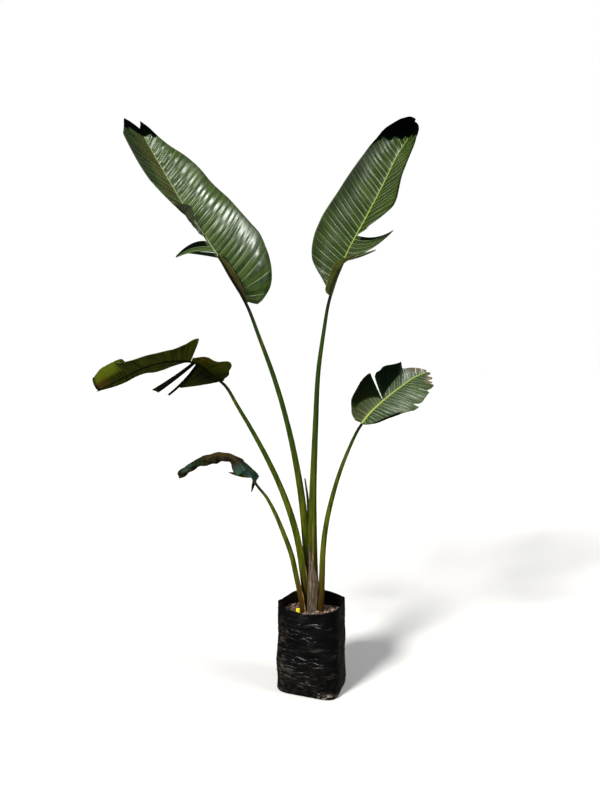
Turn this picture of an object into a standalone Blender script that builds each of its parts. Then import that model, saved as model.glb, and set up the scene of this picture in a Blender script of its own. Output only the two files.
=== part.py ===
"""Giant white bird of paradise in a black grow bag.

Five long-stalked paddle leaves stand in a filled nursery bag. Metres, +Z up. The origin is the
centre of the bag's base on the floor, and the plant's front faces -Y.
"""
import math

import bmesh
import bpy
import numpy as np

OBJECT_NAME = "potted_giant_white_bird_of_paradise"

# The bag: a pleated film bag, pressed into a rounded box by its filling
BAG_HALF_WIDTH = 0.101
BAG_HALF_DEPTH = 0.078
BAG_TURN = math.radians(-18.5)
BAG_HEIGHT = 0.268
FILM = 0.0012
GAP = 0.0004
SPOKES = 44
SOIL_LEVEL = 0.237
SOIL_SLOPE = -0.17

# The crown of the plant stands a little off the bag's axis
CROWN = np.array([0.013, 0.0125, 0.0])

# The leaf blades
LAMINA = 0.0008
KEEL = 0.0055
PLEAT = 0.0011
SLIT = 0.0022
ACROSS = (0.0, 0.045, 0.2, 0.4, 0.62, 0.82, 1.0)

GREEN = (0.09, 0.16, 0.03)
DARK_GREEN = (0.05, 0.10, 0.025)
OLIVE = (0.16, 0.17, 0.03)

# Stalks: points of the centre line from the soil up, and (height share, radius) pairs
STALKS = {
    "left_tall_stalk": {
        "points": [(-0.022, 0.018, 0.201), (-0.0225, 0.018, 0.255), (-0.0255, 0.018, 0.341),
                   (-0.030, 0.016, 0.428), (-0.035, 0.013, 0.511), (-0.0425, 0.009, 0.580),
                   (-0.0627, 0.002, 0.706), (-0.091, 0.0, 0.836), (-0.137, -0.003, 0.9875),
                   (-0.170, -0.006, 1.076), (-0.189, -0.008, 1.128)],
        "radii": [(0, 0.0108), (0.12, 0.0115), (0.3, 0.0115), (0.5, 0.0095), (0.75, 0.0072), (1, 0.0045)],
        "blade": "left_tall_blade", "seat": 0.0010, "colour": OLIVE},
    "right_tall_stalk": {
        "points": [(-0.0015, 0.004, 0.201), (-0.0015, 0.004, 0.255), (-0.0045, 0.004, 0.342),
                   (-0.008, 0.003, 0.429), (-0.0095, 0.003, 0.511), (-0.010, 0.003, 0.581),
                   (-0.006, 0.0, 0.710), (-0.001, 0.0, 0.840), (0.005, 0.0, 0.970),
                   (0.022, 0.0, 1.095), (0.030, 0.0, 1.147)],
        "radii": [(0, 0.011), (0.12, 0.0118), (0.28, 0.0124), (0.5, 0.0098), (0.75, 0.0072), (1, 0.0045)],
        "blade": "right_tall_blade", "colour": OLIVE},
    "left_arching_stalk": {
        "points": [(-0.028, -0.012, 0.201), (-0.029, -0.012, 0.255), (-0.0385, -0.012, 0.351),
                   (-0.058, -0.010, 0.475), (-0.082, -0.007, 0.557), (-0.1136, -0.004, 0.638),
                   (-0.176, 0.0, 0.764), (-0.238, 0.0, 0.872), (-0.258, 0.0, 0.906)],
        "radii": [(0, 0.011), (0.35, 0.0108), (0.6, 0.0085), (1, 0.0045)],
        "blade": "left_arching_blade", "seat": 0.0003, "colour": OLIVE},
    "left_low_stalk": {
        "points": [(-0.040, -0.030, 0.201), (-0.042, -0.030, 0.263), (-0.0605, -0.027, 0.356),
                   (-0.0735, -0.023, 0.415), (-0.100, -0.015, 0.4855), (-0.136, -0.007, 0.566),
                   (-0.160, -0.003, 0.605)],
        "radii": [(0, 0.0095), (0.35, 0.0085), (0.7, 0.0066), (1, 0.0038)], "seat": 0.0013,
        "blade": "left_low_blade", "colour": OLIVE},
    "right_short_stalk": {
        "points": [(0.0145, -0.020, 0.201), (0.0155, -0.020, 0.259), (0.018, -0.018, 0.353),
                   (0.0200, -0.016, 0.422), (0.0310, -0.012, 0.512), (0.0470, -0.007, 0.584),
                   (0.0705, -0.003, 0.665), (0.106, 0.0, 0.7555), (0.118, 0.0, 0.782)],
        "radii": [(0, 0.0105), (0.3, 0.0095), (0.6, 0.0072), (1, 0.0042)],
        "blade": "right_short_blade", "colour": OLIVE},
}

# Blades. midrib: points from the stalk to the tip. facing: the upper face's direction.
# Each half is read off tables by the share of the length: width of the half along its veins,
# slant of the veins towards the tip, lift of the half out of the facing plane, curl and arc, which
# add to lift and slant towards the margin. tears: (share of length, share of width where the slit
# begins). strips: torn ribbons between two slits, led to a tip of their own.
BLADES = {
    "left_tall_blade": {
        "midrib": [(-0.209, -0.010, 1.184), (-0.266, -0.020, 1.280), (-0.329, -0.025, 1.375),
                   (-0.389, -0.020, 1.463), (-0.452, -0.005, 1.568), (-0.517, 0.020, 1.683),
                   (-0.525, 0.025, 1.699)],
        "facing": (0.45, -0.85, 0.27), "stations": 36, "colour": DARK_GREEN,
        "right": {
            "width": [(0, 0.036), (0.02, 0.072), (0.05, 0.127), (0.1, 0.163), (0.15, 0.167),
                      (0.2, 0.166), (0.3, 0.158), (0.4, 0.153), (0.5, 0.141), (0.6, 0.129),
                      (0.7, 0.104), (0.8, 0.071), (0.9, 0.045), (1, 0.026)],
            "slant": [(0, -30), (0.04, -12), (0.1, 5), (0.35, 14), (0.7, 24), (0.9, 38), (1, 54)],
            "lift": [(0, 25), (1, 18)],
            "curl": [(0, -40), (0.6, -40), (0.8, -20), (1, 0)],
            "arc": [(0, 15), (1, 15)]},
        "left": {
            "width": [(0, 0.03), (0.06, 0.087), (0.12, 0.096), (0.18, 0.072), (0.235, 0.03),
                      (0.25, 0.08), (0.335, 0.09), (0.345, 0.043), (0.4, 0.052), (0.46, 0.078),
                      (0.5, 0.093), (0.6, 0.114), (0.7, 0.118), (0.8, 0.121), (0.85, 0.103),
                      (0.9, 0.08), (1, 0.022)],
            "slant": [(0, -12), (0.1, 8), (0.35, 20), (0.7, 28), (0.9, 40), (1, 55)],
            "lift": [(0, 40), (0.45, 36), (0.8, 34), (1, 30)],
            "curl": [(0, 60), (0.25, 60), (0.41, 70), (0.47, 0), (1, 0)],
            "tears": [(0.24, 0.045), (0.27, 0.045), (0.34, 0.045)],
            "strips": [
                {"from": 0.27, "to": 0.34, "tip": (-0.406, -0.05, 1.307), "bow": (0, 0, 0.012)},
                {"from": 0.24, "to": 0.27, "tip": (-0.379, -0.04, 1.321), "bow": (0, 0, 0.002),
                 "taper": 0.75}]},
        "bend": {"at": (-0.516, 0.02, 1.675), "along": (0.05, 0, 1), "towards": (0.2, -0.9, 0.1),
                 "radius": 0.03, "angle": 60}},
    "right_tall_blade": {
        "midrib": [(0.040, 0.0, 1.205), (0.062, 0.0, 1.262), (0.097, 0.005, 1.340),
                   (0.147, 0.010, 1.433), (0.197, 0.020, 1.529), (0.247, 0.035, 1.629),
                   (0.283, 0.045, 1.680), (0.295, 0.050, 1.699)],
        "facing": (-0.42, -0.85, 0.33), "stations": 36, "colour": DARK_GREEN,
        "right": {
            "width": [(0, 0.048), (0.05, 0.067), (0.12, 0.077), (0.17, 0.086), (0.2, 0.1),
                      (0.335, 0.1), (0.35, 0.05), (0.38, 0.1), (0.42, 0.137), (0.46, 0.131),
                      (0.5, 0.12), (0.6, 0.099), (0.7, 0.089), (0.8, 0.075), (0.9, 0.045),
                      (1, 0.012)],
            "slant": [(0, -20), (0.08, 0), (0.2, 12), (0.5, 24), (0.8, 32), (1, 60)],
            "lift": [(0, 45), (0.25, 45), (0.4, 35), (1, 32)],
            "curl": [(0, 60), (0.15, 60), (0.2, 0), (1, 0)],
            "tears": [(0.187, 0.045), (0.222, 0.045), (0.342, 0.045)],
            "strips": [
                {"from": 0.222, "to": 0.342, "tip": (0.222, -0.03, 1.387),
                 "bow": (0, 0, -0.014), "centre": 0.32, "taper": 0.92},
                {"from": 0.187, "to": 0.222, "tip": (0.173, -0.02, 1.332),
                 "bow": (0, 0, -0.012), "taper": 0.8}]},
        "left": {
            "width": [(0, 0.008), (0.02, 0.013), (0.05, 0.03), (0.1, 0.082), (0.15, 0.105),
                      (0.2, 0.116), (0.3, 0.127), (0.4, 0.124), (0.5, 0.121), (0.6, 0.116),
                      (0.7, 0.106), (0.8, 0.094), (0.9, 0.085), (0.95, 0.072), (1, 0.055)],
            "slant": [(0, -5), (0.1, 8), (0.3, 16), (0.5, 24), (0.8, 32), (1, 50)],
            "lift": [(0, 0), (1, 0)],
            "curl": [(0, 40), (1, 40)]},
        "bend": {"at": (0.265, 0.04, 1.670), "along": (0, 0, 1), "towards": (-0.1, -0.9, 0.1),
                 "radius": 0.03, "angle": 60}},
    "left_arching_blade": {
        "midrib": [(-0.283, 0.0, 0.948), (-0.309, 0.0, 0.964), (-0.336, -0.005, 0.987),
                   (-0.368, -0.010, 1.004), (-0.424, -0.020, 1.008), (-0.497, -0.030, 0.993),
                   (-0.572, -0.035, 0.958), (-0.626, -0.040, 0.930), (-0.645, -0.040, 0.921)],
        "facing": (0.05, 0.55, 0.83), "stations": 30, "colour": OLIVE,
        "right": {
            "width": [(0, 0.02), (0.04, 0.07), (0.1, 0.1), (0.2, 0.115), (0.285, 0.12),
                      (0.3, 0.03), (0.35, 0.055), (0.4, 0.072), (0.45, 0.083), (0.5, 0.083),
                      (0.6, 0.061), (0.7, 0.042), (0.8, 0.036), (0.9, 0.025), (1, 0.014)],
            "slant": [(0, -20), (0.1, 0), (0.25, 5), (0.5, 15), (0.8, 30), (1, 60)],
            "lift": [(0, 18), (1, 18)],
            "curl": [(0, 0), (1, 0)],
            "tears": [(0.208, 0.045), (0.246, 0.045), (0.292, 0.045)],
            "strips": [
                {"from": -1, "to": 0.208, "lift": -50, "tip": (-0.403, -0.04, 0.930),
                 "bow": (0, 0, 0), "centre": 0.14, "taper": 0.95, "power": 1.2},
                {"from": 0.208, "to": 0.246, "lift": -50, "tip": (-0.433, -0.06, 0.909),
                 "bow": (0.01, 0, 0.006), "taper": 0.3},
                {"from": 0.246, "to": 0.292, "lift": -50, "tip": (-0.474, -0.05, 0.920),
                 "bow": (0.004, 0, 0.004), "taper": -0.2}]},
        "left": {
            "width": [(0, 0.012), (0.02, 0.026), (0.05, 0.083), (0.1, 0.110), (0.15, 0.126),
                      (0.2, 0.085), (0.25, 0.05), (0.272, 0.045), (0.28, 0.168), (0.33, 0.12),
                      (0.4, 0.082), (0.5, 0.062), (0.6, 0.063), (0.7, 0.077), (0.8, 0.094),
                      (1, 0.086)],
            "slant": [(0, -35), (0.1, -15), (0.2, -10), (0.28, -4), (0.4, 0), (0.5, 8),
                      (0.78, 10), (1, 15)],
            "lift": [(0, -8), (1, -8)],
            "curl": [(0, 0), (1, 0)],
            "tears": [(0.275, 0.045), (0.755, 0.045)],
            "strips": [{"from": 0.755, "to": 2, "lift": -10, "curl": 230, "slant": 0,
                        "grow": 1.2}]}},
    "left_low_blade": {
        "midrib": [(-0.183, 0.0, 0.638), (-0.202, 0.0, 0.668), (-0.223, 0.0, 0.692),
                   (-0.251, 0.005, 0.719), (-0.288, 0.010, 0.726), (-0.325, 0.010, 0.720),
                   (-0.357, 0.0, 0.711), (-0.391, 0.0, 0.691), (-0.421, 0.0, 0.669)],
        "facing": (0.1, -0.1, 0.95), "stations": 20, "colour": OLIVE,
        "right": {
            "width": [(0, 0.029), (0.1, 0.043), (0.3, 0.045), (0.8, 0.037), (1, 0.029)],
            "slant": [(0, 10), (0.2, 10), (0.8, 15), (1, 10)],
            "lift": [(0, 10), (1, 10)],
            "curl": [(0, 10), (0.1, -20), (0.25, -60), (0.4, -140), (1, -150)]},
        "left": {
            "width": [(0, 0.029), (0.1, 0.043), (0.3, 0.041), (0.8, 0.036), (1, 0.029)],
            "slant": [(0, 10), (0.2, 10), (0.8, 15), (1, 10)],
            "lift": [(0, 10), (1, 10)],
            "curl": [(0, 10), (0.1, -60), (0.25, -150), (1, -150)],
            "tears": [(0.055, 0.045), (0.16, 0.045)],
            "strips": [
                {"from": 0.055, "to": 0.16, "lift": -30, "tip": (-0.263, -0.03, 0.674),
                 "bow": (0, 0, -0.004)},
                {"from": -1, "to": 0.055, "lift": -60, "tip": (-0.195, -0.03, 0.614),
                 "bow": (0, -0.006, 0.002), "taper": 0.8}]}},
    "right_short_blade": {
        "midrib": [(0.138, 0.0, 0.819), (0.159, 0.0, 0.846), (0.188, 0.0, 0.875),
                   (0.226, 0.005, 0.907), (0.266, 0.010, 0.936), (0.292, 0.020, 0.953),
                   (0.337, 0.030, 0.973)],
        "facing": (-0.3, -0.8, 0.5), "stations": 26, "colour": GREEN,
        "right": {
            "width": [(0, 0.006), (0.05, 0.03), (0.1, 0.05), (0.2, 0.08), (0.28, 0.105),
                      (0.35, 0.122), (0.38, 0.115), (0.5, 0.107), (0.6, 0.098), (0.7, 0.084),
                      (0.8, 0.067), (0.9, 0.041), (1, 0.012)],
            "slant": [(0, -10), (0.2, 25), (0.5, 30), (0.8, 30), (1, 40)],
            "lift": [(0, 20), (1, 20)],
            "curl": [(0, -20), (0.5, -20), (1, -10)],
            "tears": [(0.37, 0.8), (0.63, 0.8)]},
        "left": {
            "width": [(0, 0.014), (0.05, 0.038), (0.1, 0.058), (0.15, 0.073), (0.2, 0.08),
                      (0.3, 0.091), (0.37, 0.1), (0.39, 0.093), (0.5, 0.085), (0.6, 0.079),
                      (0.66, 0.075), (0.69, 0.053), (0.8, 0.037), (0.9, 0.018), (1, 0.008)],
            "slant": [(0, -15), (0.2, 0), (0.5, 15), (0.8, 20), (1, 40)],
            "lift": [(0, 15), (1, 15)],
            "curl": [(0, 50), (0.6, 50), (0.7, 10), (1, 0)],
            "tears": [(0.385, 0.13)],
            "strips": [{"from": 0.3, "to": 0.385, "centre": 0.3, "taper": 0.5}]}},
}


def unit(v):
    return v / np.maximum(np.linalg.norm(v, axis=-1, keepdims=True), 1e-9)


def read(table, u):
    """Smooth curve through a table that never overshoots its values."""
    k = np.array([a for a, _ in table], float)
    y = np.array([b for _, b in table], float)
    h = np.diff(k)
    rise = np.diff(y) / h
    slope = np.concatenate([rise[:1], np.zeros(len(k) - 2), rise[-1:]])
    if len(k) > 2:
        both = rise[:-1] * rise[1:]
        slope[1:-1] = np.where(both > 0, 2 * both / np.where(both > 0, rise[:-1] + rise[1:], 1), 0)
    i = np.clip(np.searchsorted(k, u, side="right") - 1, 0, len(k) - 2)
    t = (u - k[i]) / h[i]
    return ((2 * t**3 - 3 * t**2 + 1) * y[i] + (t**3 - 2 * t**2 + t) * h[i] * slope[i]
            + (3 * t**2 - 2 * t**3) * y[i + 1] + (t**3 - t**2) * h[i] * slope[i + 1])


def path(points, u):
    """Smooth curve through points, read at shares of its length; also gives that length."""
    p = np.asarray(points, float)
    k = np.r_[0, np.cumsum(np.linalg.norm(np.diff(p, axis=0), axis=1))]
    length = k[-1]
    k = k / length
    h = np.diff(k)[:, None]
    rise = np.diff(p, axis=0) / h
    slope = np.vstack([rise[:1], (rise[:-1] * h[1:] + rise[1:] * h[:-1]) / (h[1:] + h[:-1]),
                       rise[-1:]])
    i = np.clip(np.searchsorted(k, u, side="right") - 1, 0, len(k) - 2)
    t = ((u - k[i]) / h[i, 0])[:, None]
    spot = ((2 * t**3 - 3 * t**2 + 1) * p[i] + (t**3 - 2 * t**2 + t) * h[i] * slope[i]
            + (3 * t**2 - 2 * t**3) * p[i + 1] + (t**3 - t**2) * h[i] * slope[i + 1])
    return spot, length


def midrib(leaf, u):
    """Midrib points with the directions along it, out of its upper face, and to its right."""
    spot, length = path(leaf["midrib"], u)
    ahead = path(leaf["midrib"], np.clip(u + 1e-3, 0, 1))[0]
    behind = path(leaf["midrib"], np.clip(u - 1e-3, 0, 1))[0]
    along = unit(ahead - behind)
    facing = np.array(leaf["facing"], float)
    up = unit(facing - (along @ facing)[:, None] * along)
    return spot, along, up, np.cross(along, up), length


def half(leaf, side, us, vs):
    """One half of a blade, walked outwards along each vein from the midrib.

    The vein leaves at the slant towards the tip and at the lift above the facing plane, both
    turn evenly by arc and curl on the way to the margin, and shallow pleats run between veins.
    """
    spot, along, up, right, length = midrib(leaf, us)
    s = leaf["right"] if side > 0 else leaf["left"]
    mid = 0.5 * (vs[1:] + vs[:-1])
    width = np.repeat(read(s["width"], us)[:, None], len(mid), 1)
    lift = np.radians(read(s["lift"], us)[:, None] + read(s["curl"], us)[:, None] * mid)
    slant = np.radians(read(s["slant"], us)[:, None]
                       + read(s.get("arc", [(0, 0), (1, 0)]), us)[:, None] * mid)
    gather = np.zeros((len(us), len(vs), 3))
    for q in s.get("strips", []):
        inside = ((us > q["from"]) & (us < q["to"]))[:, None]
        root = ACROSS[1]
        past = np.clip(mid - root, 0, 1)
        blend = inside * np.clip(past / 0.08, 0, 1)
        if "lift" in q:
            lift = lift * (1 - blend) + blend * np.radians(q["lift"] + q.get("curl", 0) * past)
        if "slant" in q:
            slant = slant * (1 - blend) + blend * np.radians(q["slant"])
        width = np.where(inside & (mid > root), width * q.get("grow", 1), width)
        if "tip" not in q and "taper" in q:
            centre = midrib(leaf, np.array([q["centre"]]))[0]
            share = q["taper"] * np.clip((vs - root) / (1 - root), 0, 1) ** 1.5
            gather += (inside * share)[..., None] * (centre - spot)[:, None]
    out = np.cos(lift)[..., None] * (side * right)[:, None] + np.sin(lift)[..., None] * up[:, None]
    step = np.cos(slant)[..., None] * out + np.sin(slant)[..., None] * along[:, None]
    step = step * (width * np.diff(vs))[..., None]
    p = np.concatenate([spot[:, None], spot[:, None] + np.cumsum(step, 1)], 1) + gather
    tilt = np.concatenate([lift[:, :1], lift], 1)
    face = (np.cos(tilt)[..., None] * up[:, None]
            - np.sin(tilt)[..., None] * (side * right)[:, None])
    wave = np.cos(np.pi * leaf["stations"] * us)[:, None] * np.clip(vs / 0.2, 0, 1)
    p = p + face * (PLEAT * wave)[..., None]
    for q in s.get("strips", []):
        if "tip" in q:
            inside = (us > q["from"]) & (us < q["to"])
            centre = q.get("centre", 0.5 * (max(q["from"], 0) + q["to"]))
            t = np.clip((vs - ACROSS[1]) / (1 - ACROSS[1]), 0, 1)[None, :, None]
            row = int(np.searchsorted(vs, ACROSS[1] - 1e-6))
            root = p[:, row]
            hub = np.array([np.interp(centre, us, root[:, c]) for c in range(3)])
            line = hub + (np.array(q["tip"]) - hub) * t + np.array(q["bow"]) * 4 * t * (1 - t)
            spread = 1 - q.get("taper", 0.9) * t ** q.get("power", 1.5)
            ribbon = line + (root - hub)[:, None] * spread
            p = np.where((inside[:, None] & (vs > ACROSS[1] + 1e-6))[..., None], ribbon, p)
    if "bend" in leaf:
        p = nod(p, **leaf["bend"])
    return p


def nod(p, at, along, towards, radius, angle):
    """Lean all that lies past a place over in another direction, round a radius, to an angle."""
    a = unit(np.array(along, float))
    c = np.array(towards, float)
    c = unit(c - (c @ a) * a)
    h = (p - np.array(at)) @ a
    top = math.radians(angle)
    turn = np.clip(h / radius, 0, top)
    over = np.maximum(h - radius * top, 0)
    fall = np.where(h > 0, radius * np.sin(turn) + over * np.cos(turn) - h, 0)
    lean = np.where(h > 0, radius * (1 - np.cos(turn)) + over * np.sin(turn), 0)
    return p + fall[..., None] * a + lean[..., None] * c


def blade_stations(leaf, count):
    """Shares of the length: even steps, with a close pair at each slit."""
    reach = SLIT / path(leaf["midrib"], np.array([0.0]))[1] / 2
    slits = [u for s in ("right", "left") for u, _ in leaf[s].get("tears", [])]
    even = [u for u in np.linspace(0, 1, count + 1)
            if all(abs(u - slit) > 0.4 / count for slit in slits)]
    edges = [slit + end for slit in slits for end in (-reach, reach)]
    return np.array(sorted(even + edges))


def add_material(obj, colour, roughness):
    mat = bpy.data.materials.new(obj.name)
    mat.use_nodes = True
    shader = mat.node_tree.nodes["Principled BSDF"]
    shader.inputs["Base Color"].default_value = (*colour, 1)
    shader.inputs["Roughness"].default_value = roughness
    shader.inputs["Metallic"].default_value = 0.0
    mat.diffuse_color = (*colour, 1)
    obj.data.materials.append(mat)


def add_object(name, bm, collection):
    mesh = bpy.data.meshes.new(name)
    bm.to_mesh(mesh)
    bm.free()
    obj = bpy.data.objects.new(name, mesh)
    collection.objects.link(obj)
    return obj


def add_blade(name, leaf):
    """A grid over both halves, torn, triangulated, and thickened with a keel on the midrib."""
    us = blade_stations(leaf, leaf["stations"])
    vs = np.array(ACROSS)
    right = half(leaf, 1, us, vs)
    left = half(leaf, -1, us, vs)
    cloth = np.concatenate([right[:, :0:-1], left], 1) + CROWN
    n, m = cloth.shape[0] - 1, cloth.shape[1] - 1
    bm = bmesh.new()
    bmesh.ops.create_grid(bm, x_segments=n, y_segments=m, size=1)
    layer = bm.verts.layers.deform.new()
    cell = {}
    for v in bm.verts:
        i, j = round((v.co.x + 1) / 2 * n), round((v.co.y + 1) / 2 * m)
        cell[v] = (i, j)
        v.co = cloth[i, j]
        keel = KEEL * (1 - 0.75 * us[i]) if j == len(vs) - 1 else LAMINA
        v[layer][0] = keel / KEEL
    gone = []
    for face in bm.faces:
        i = min(cell[v][0] for v in face.verts)
        j = min(cell[v][1] for v in face.verts)
        side = "right" if j < len(vs) - 1 else "left"
        inner = vs[len(vs) - 2 - j] if side == "right" else vs[j - len(vs) + 1]
        for u, start in leaf[side].get("tears", []):
            if us[i] < u < us[i + 1] and inner > start - 1e-6:
                gone.append(face)
                break
    bmesh.ops.delete(bm, geom=gone, context="FACES")
    bmesh.ops.triangulate(bm, faces=bm.faces[:], quad_method="FIXED")
    obj = add_object(name, bm, parts)
    obj.vertex_groups.new(name="thickness")
    skin = obj.modifiers.new("thickness", "SOLIDIFY")
    skin.thickness = KEEL
    skin.offset = -1
    skin.vertex_group = "thickness"
    skin.thickness_vertex_group = 0
    obj.data.shade_smooth()
    add_material(obj, leaf["colour"], 0.45)
    return obj


def tube_mesh(name, points, radii, collection, stations=14, sides=3):
    """A closed tube along a smooth path, as a bevelled curve turned into a welded mesh."""
    us = np.linspace(0, 1, stations)
    spots = path(points, us)[0] + CROWN
    size = read(radii, us)
    curve = bpy.data.curves.new(name, "CURVE")
    curve.dimensions = "3D"
    curve.bevel_depth = 0.01
    curve.bevel_resolution = sides
    curve.use_fill_caps = True
    spline = curve.splines.new("POLY")
    spline.points.add(stations - 1)
    for point, spot, r in zip(spline.points, spots, size):
        point.co = (*spot, 1)
        point.radius = r / 0.01
    guide = bpy.data.objects.new(name + "_guide", curve)
    collection.objects.link(guide)
    bpy.context.view_layer.update()
    seen = guide.evaluated_get(bpy.context.evaluated_depsgraph_get())
    bm = bmesh.new()
    bm.from_mesh(bpy.data.meshes.new_from_object(seen))
    bpy.data.objects.remove(guide)
    bmesh.ops.remove_doubles(bm, verts=bm.verts[:], dist=1e-6)
    bmesh.ops.recalc_face_normals(bm, faces=bm.faces[:])
    obj = add_object(name, bm, collection)
    obj.data.shade_smooth()
    return obj


def stalk_points(stalk):
    """The stalk's own points, led in under the keel of its blade with a hair's gap."""
    leaf = BLADES[stalk["blade"]]
    spot, along, up, _, _ = midrib(leaf, np.array([0.0]))
    r = stalk["radii"][-1][1]
    end = spot[0] - (r + LAMINA + 0.0018) * up[0] - stalk.get("seat", 0.0007) * along[0]
    return stalk["points"] + [tuple(end - 0.022 * along[0]), tuple(end)]


def bag_spot(angle, share, inset=0.0):
    """Point of the bag's skin at an angle about its axis and a share of its height.

    The plan is a rounded box whose corners soften upwards, a little fuller at half height and
    with a few soft dents. The rim stands up at the corners and sags between them.
    """
    power = 5.0 - 1.2 * share
    scale = 0.968 + 0.012 * math.sin(math.pi * min(share / 0.7, 1)) - 0.004 * share**2
    c, s = math.cos(angle), math.sin(angle)
    r = scale / (abs(c / BAG_HALF_WIDTH)**power + abs(s / BAG_HALF_DEPTH)**power)**(1 / power)
    dent = 0.0012 * math.sin(3 * angle + 9 * share) + 0.0009 * math.sin(7 * angle - 14 * share)
    r += dent * min(share / 0.1, 1) - inset
    rim = 0.002 * math.sin(angle + BAG_TURN) - 0.006 * math.cos(4 * angle)
    rim -= 0.004 * math.cos(angle - 2.5)
    z = share * (BAG_HEIGHT + rim * share**3)
    a = angle + BAG_TURN
    return r * math.cos(a), r * math.sin(a), z


def spoke(v):
    """The bag's and the filling's corners share one set of directions about the axis."""
    step = 2 * math.pi / SPOKES
    return math.floor(math.atan2(v.co.y, v.co.x) / step + 0.25) * step


def add_bag():
    """A capped cylinder cut into rings, pressed to the bag's form and given the film's wall."""
    bm = bmesh.new()
    bmesh.ops.create_cone(bm, cap_ends=True, segments=SPOKES, radius1=1, radius2=1, depth=2)
    tops = [f for f in bm.faces if f.calc_center_median().z > 0.9]
    bmesh.ops.delete(bm, geom=tops, context="FACES_ONLY")
    uprights = [e for e in bm.edges if abs(e.verts[0].co.z - e.verts[1].co.z) > 1]
    bmesh.ops.subdivide_edges(bm, edges=uprights, cuts=6, use_grid_fill=True)
    for v in bm.verts:
        v.co = bag_spot(spoke(v), (v.co.z + 1) / 2)
    obj = add_object("grow_bag", bm, parts)
    film = obj.modifiers.new("film", "SOLIDIFY")
    film.thickness = FILM
    film.offset = -1
    obj.data.shade_smooth()
    add_material(obj, (0.008, 0.008, 0.009), 0.35)
    return obj


def soil_height(x, y):
    lumps = 0.0016 * math.sin(170 * x + 2) * math.cos(140 * y) + 0.001 * math.sin(310 * y + 90 * x)
    return SOIL_LEVEL + SOIL_SLOPE * y + lumps


def add_soil():
    """A ball whose rows become the bumpy top, the wall inside the film, and the flat bottom."""
    rows, top, side = 14, 5, 6
    bm = bmesh.new()
    bmesh.ops.create_uvsphere(bm, u_segments=SPOKES, v_segments=rows, radius=1)
    inset = FILM + 4 * GAP
    for v in bm.verts:
        angle = spoke(v)
        row = round(math.acos(max(-1, min(1, v.co.z))) / math.pi * rows)
        x, y, _ = bag_spot(angle, SOIL_LEVEL / BAG_HEIGHT, inset)
        edge = soil_height(x, y)
        if row <= top:
            x, y, _ = bag_spot(angle, edge / BAG_HEIGHT, inset)
            x, y = x * row / top, y * row / top
            v.co = (x, y, edge if row == top else soil_height(x, y))
        elif row < top + side:
            drop = (row - top) / side
            z = edge * (1 - drop) + (FILM + GAP) * drop
            x, y, _ = bag_spot(angle, z / BAG_HEIGHT, inset)
            v.co = (x, y, z)
        else:
            x, y, _ = bag_spot(angle, 0, inset)
            spread = (rows - row) / (rows - top - side)
            v.co = (x * spread, y * spread, FILM + GAP)
    obj = add_object("potting_mix", bm, parts)
    add_material(obj, (0.20, 0.13, 0.09), 0.95)
    return obj


def add_plate(name, points, widths, thick, cup, collection, stations=6, grow=0.0):
    """A strap along a path, facing forward, with its edges cupped back."""
    columns = 4
    us = np.linspace(0, 1, stations)
    spots = path(points, us)[0] + CROWN
    width = read(widths, us) + 2 * grow
    bm = bmesh.new()
    bmesh.ops.create_grid(bm, x_segments=columns, y_segments=stations - 1, size=1)
    for v in bm.verts:
        i, t = round((v.co.y + 1) / 2 * (stations - 1)), v.co.x
        v.co = spots[i] + np.array([t * width[i] / 2, cup * t * t - grow, 0])
    bmesh.ops.triangulate(bm, faces=bm.faces[:], quad_method="FIXED")
    obj = add_object(name, bm, collection)
    body = obj.modifiers.new("body", "SOLIDIFY")
    body.thickness = thick + 2 * grow
    body.offset = -1
    return obj


for old in list(bpy.data.objects):
    bpy.data.objects.remove(old, do_unlink=True)
parts = bpy.data.collections.new(OBJECT_NAME)
cutters = bpy.data.collections.new("cutters")
bpy.context.scene.collection.children.link(parts)
bpy.context.scene.collection.children.link(cutters)

add_bag()
soil = add_soil()

for name, leaf in BLADES.items():
    add_blade(name, leaf)

holes = []
for name, stalk in STALKS.items():
    stem = tube_mesh(name, stalk_points(stalk), stalk["radii"], parts)
    add_material(stem, stalk["colour"], 0.5)
    foot = stalk["points"][0]
    r = max(stalk["radii"][0][1], stalk["radii"][1][1]) / math.cos(math.pi / 20) + GAP
    above = stalk["points"][1]
    lean = (np.array(above) - np.array(foot)) / (above[2] - foot[2])
    low = np.array(foot) - GAP * lean
    high = np.array(foot) + 0.075 * lean
    holes.append(tube_mesh(name + "_hole", [tuple(low), tuple(high)], [(0, r), (1, r)], cutters,
                           stations=2, sides=8))

STUB = [(-0.019, 0.038, 0.201), (-0.019, 0.038, 0.30), (-0.022, 0.037, 0.478),
        (-0.0247, 0.033, 0.574), (-0.0338, 0.030, 0.643)]
stub = tube_mesh("cut_stub", STUB, [(0, 0.0045), (0.85, 0.0042), (1, 0.0025)], parts, stations=9)
add_material(stub, (0.25, 0.18, 0.08), 0.8)
holes.append(tube_mesh("cut_stub_hole", [(-0.019, 0.038, 0.2006), (-0.019, 0.038, 0.275)],
                       [(0, 0.0052), (1, 0.0052)], cutters, stations=2, sides=8))

SHEATH = [(-0.0125, -0.035, 0.203), (-0.0125, -0.035, 0.249), (-0.0105, -0.0345, 0.343),
          (-0.0165, -0.032, 0.405), (-0.0253, -0.028, 0.4535)]
sheath = add_plate("dry_sheath", SHEATH, [(0, 0.032), (0.5, 0.036), (0.75, 0.025), (1, 0.003)],
                   0.0022, 0.003, parts)
add_material(sheath, (0.28, 0.22, 0.17), 0.9)
holes.append(add_plate("dry_sheath_hole",
                       [(-0.0125, -0.035, 0.2025), (-0.0125, -0.035, 0.275)],
                       [(0, 0.034), (1, 0.034)], 0.0022, 0.003, cutters, stations=2,
                       grow=0.0006))

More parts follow.
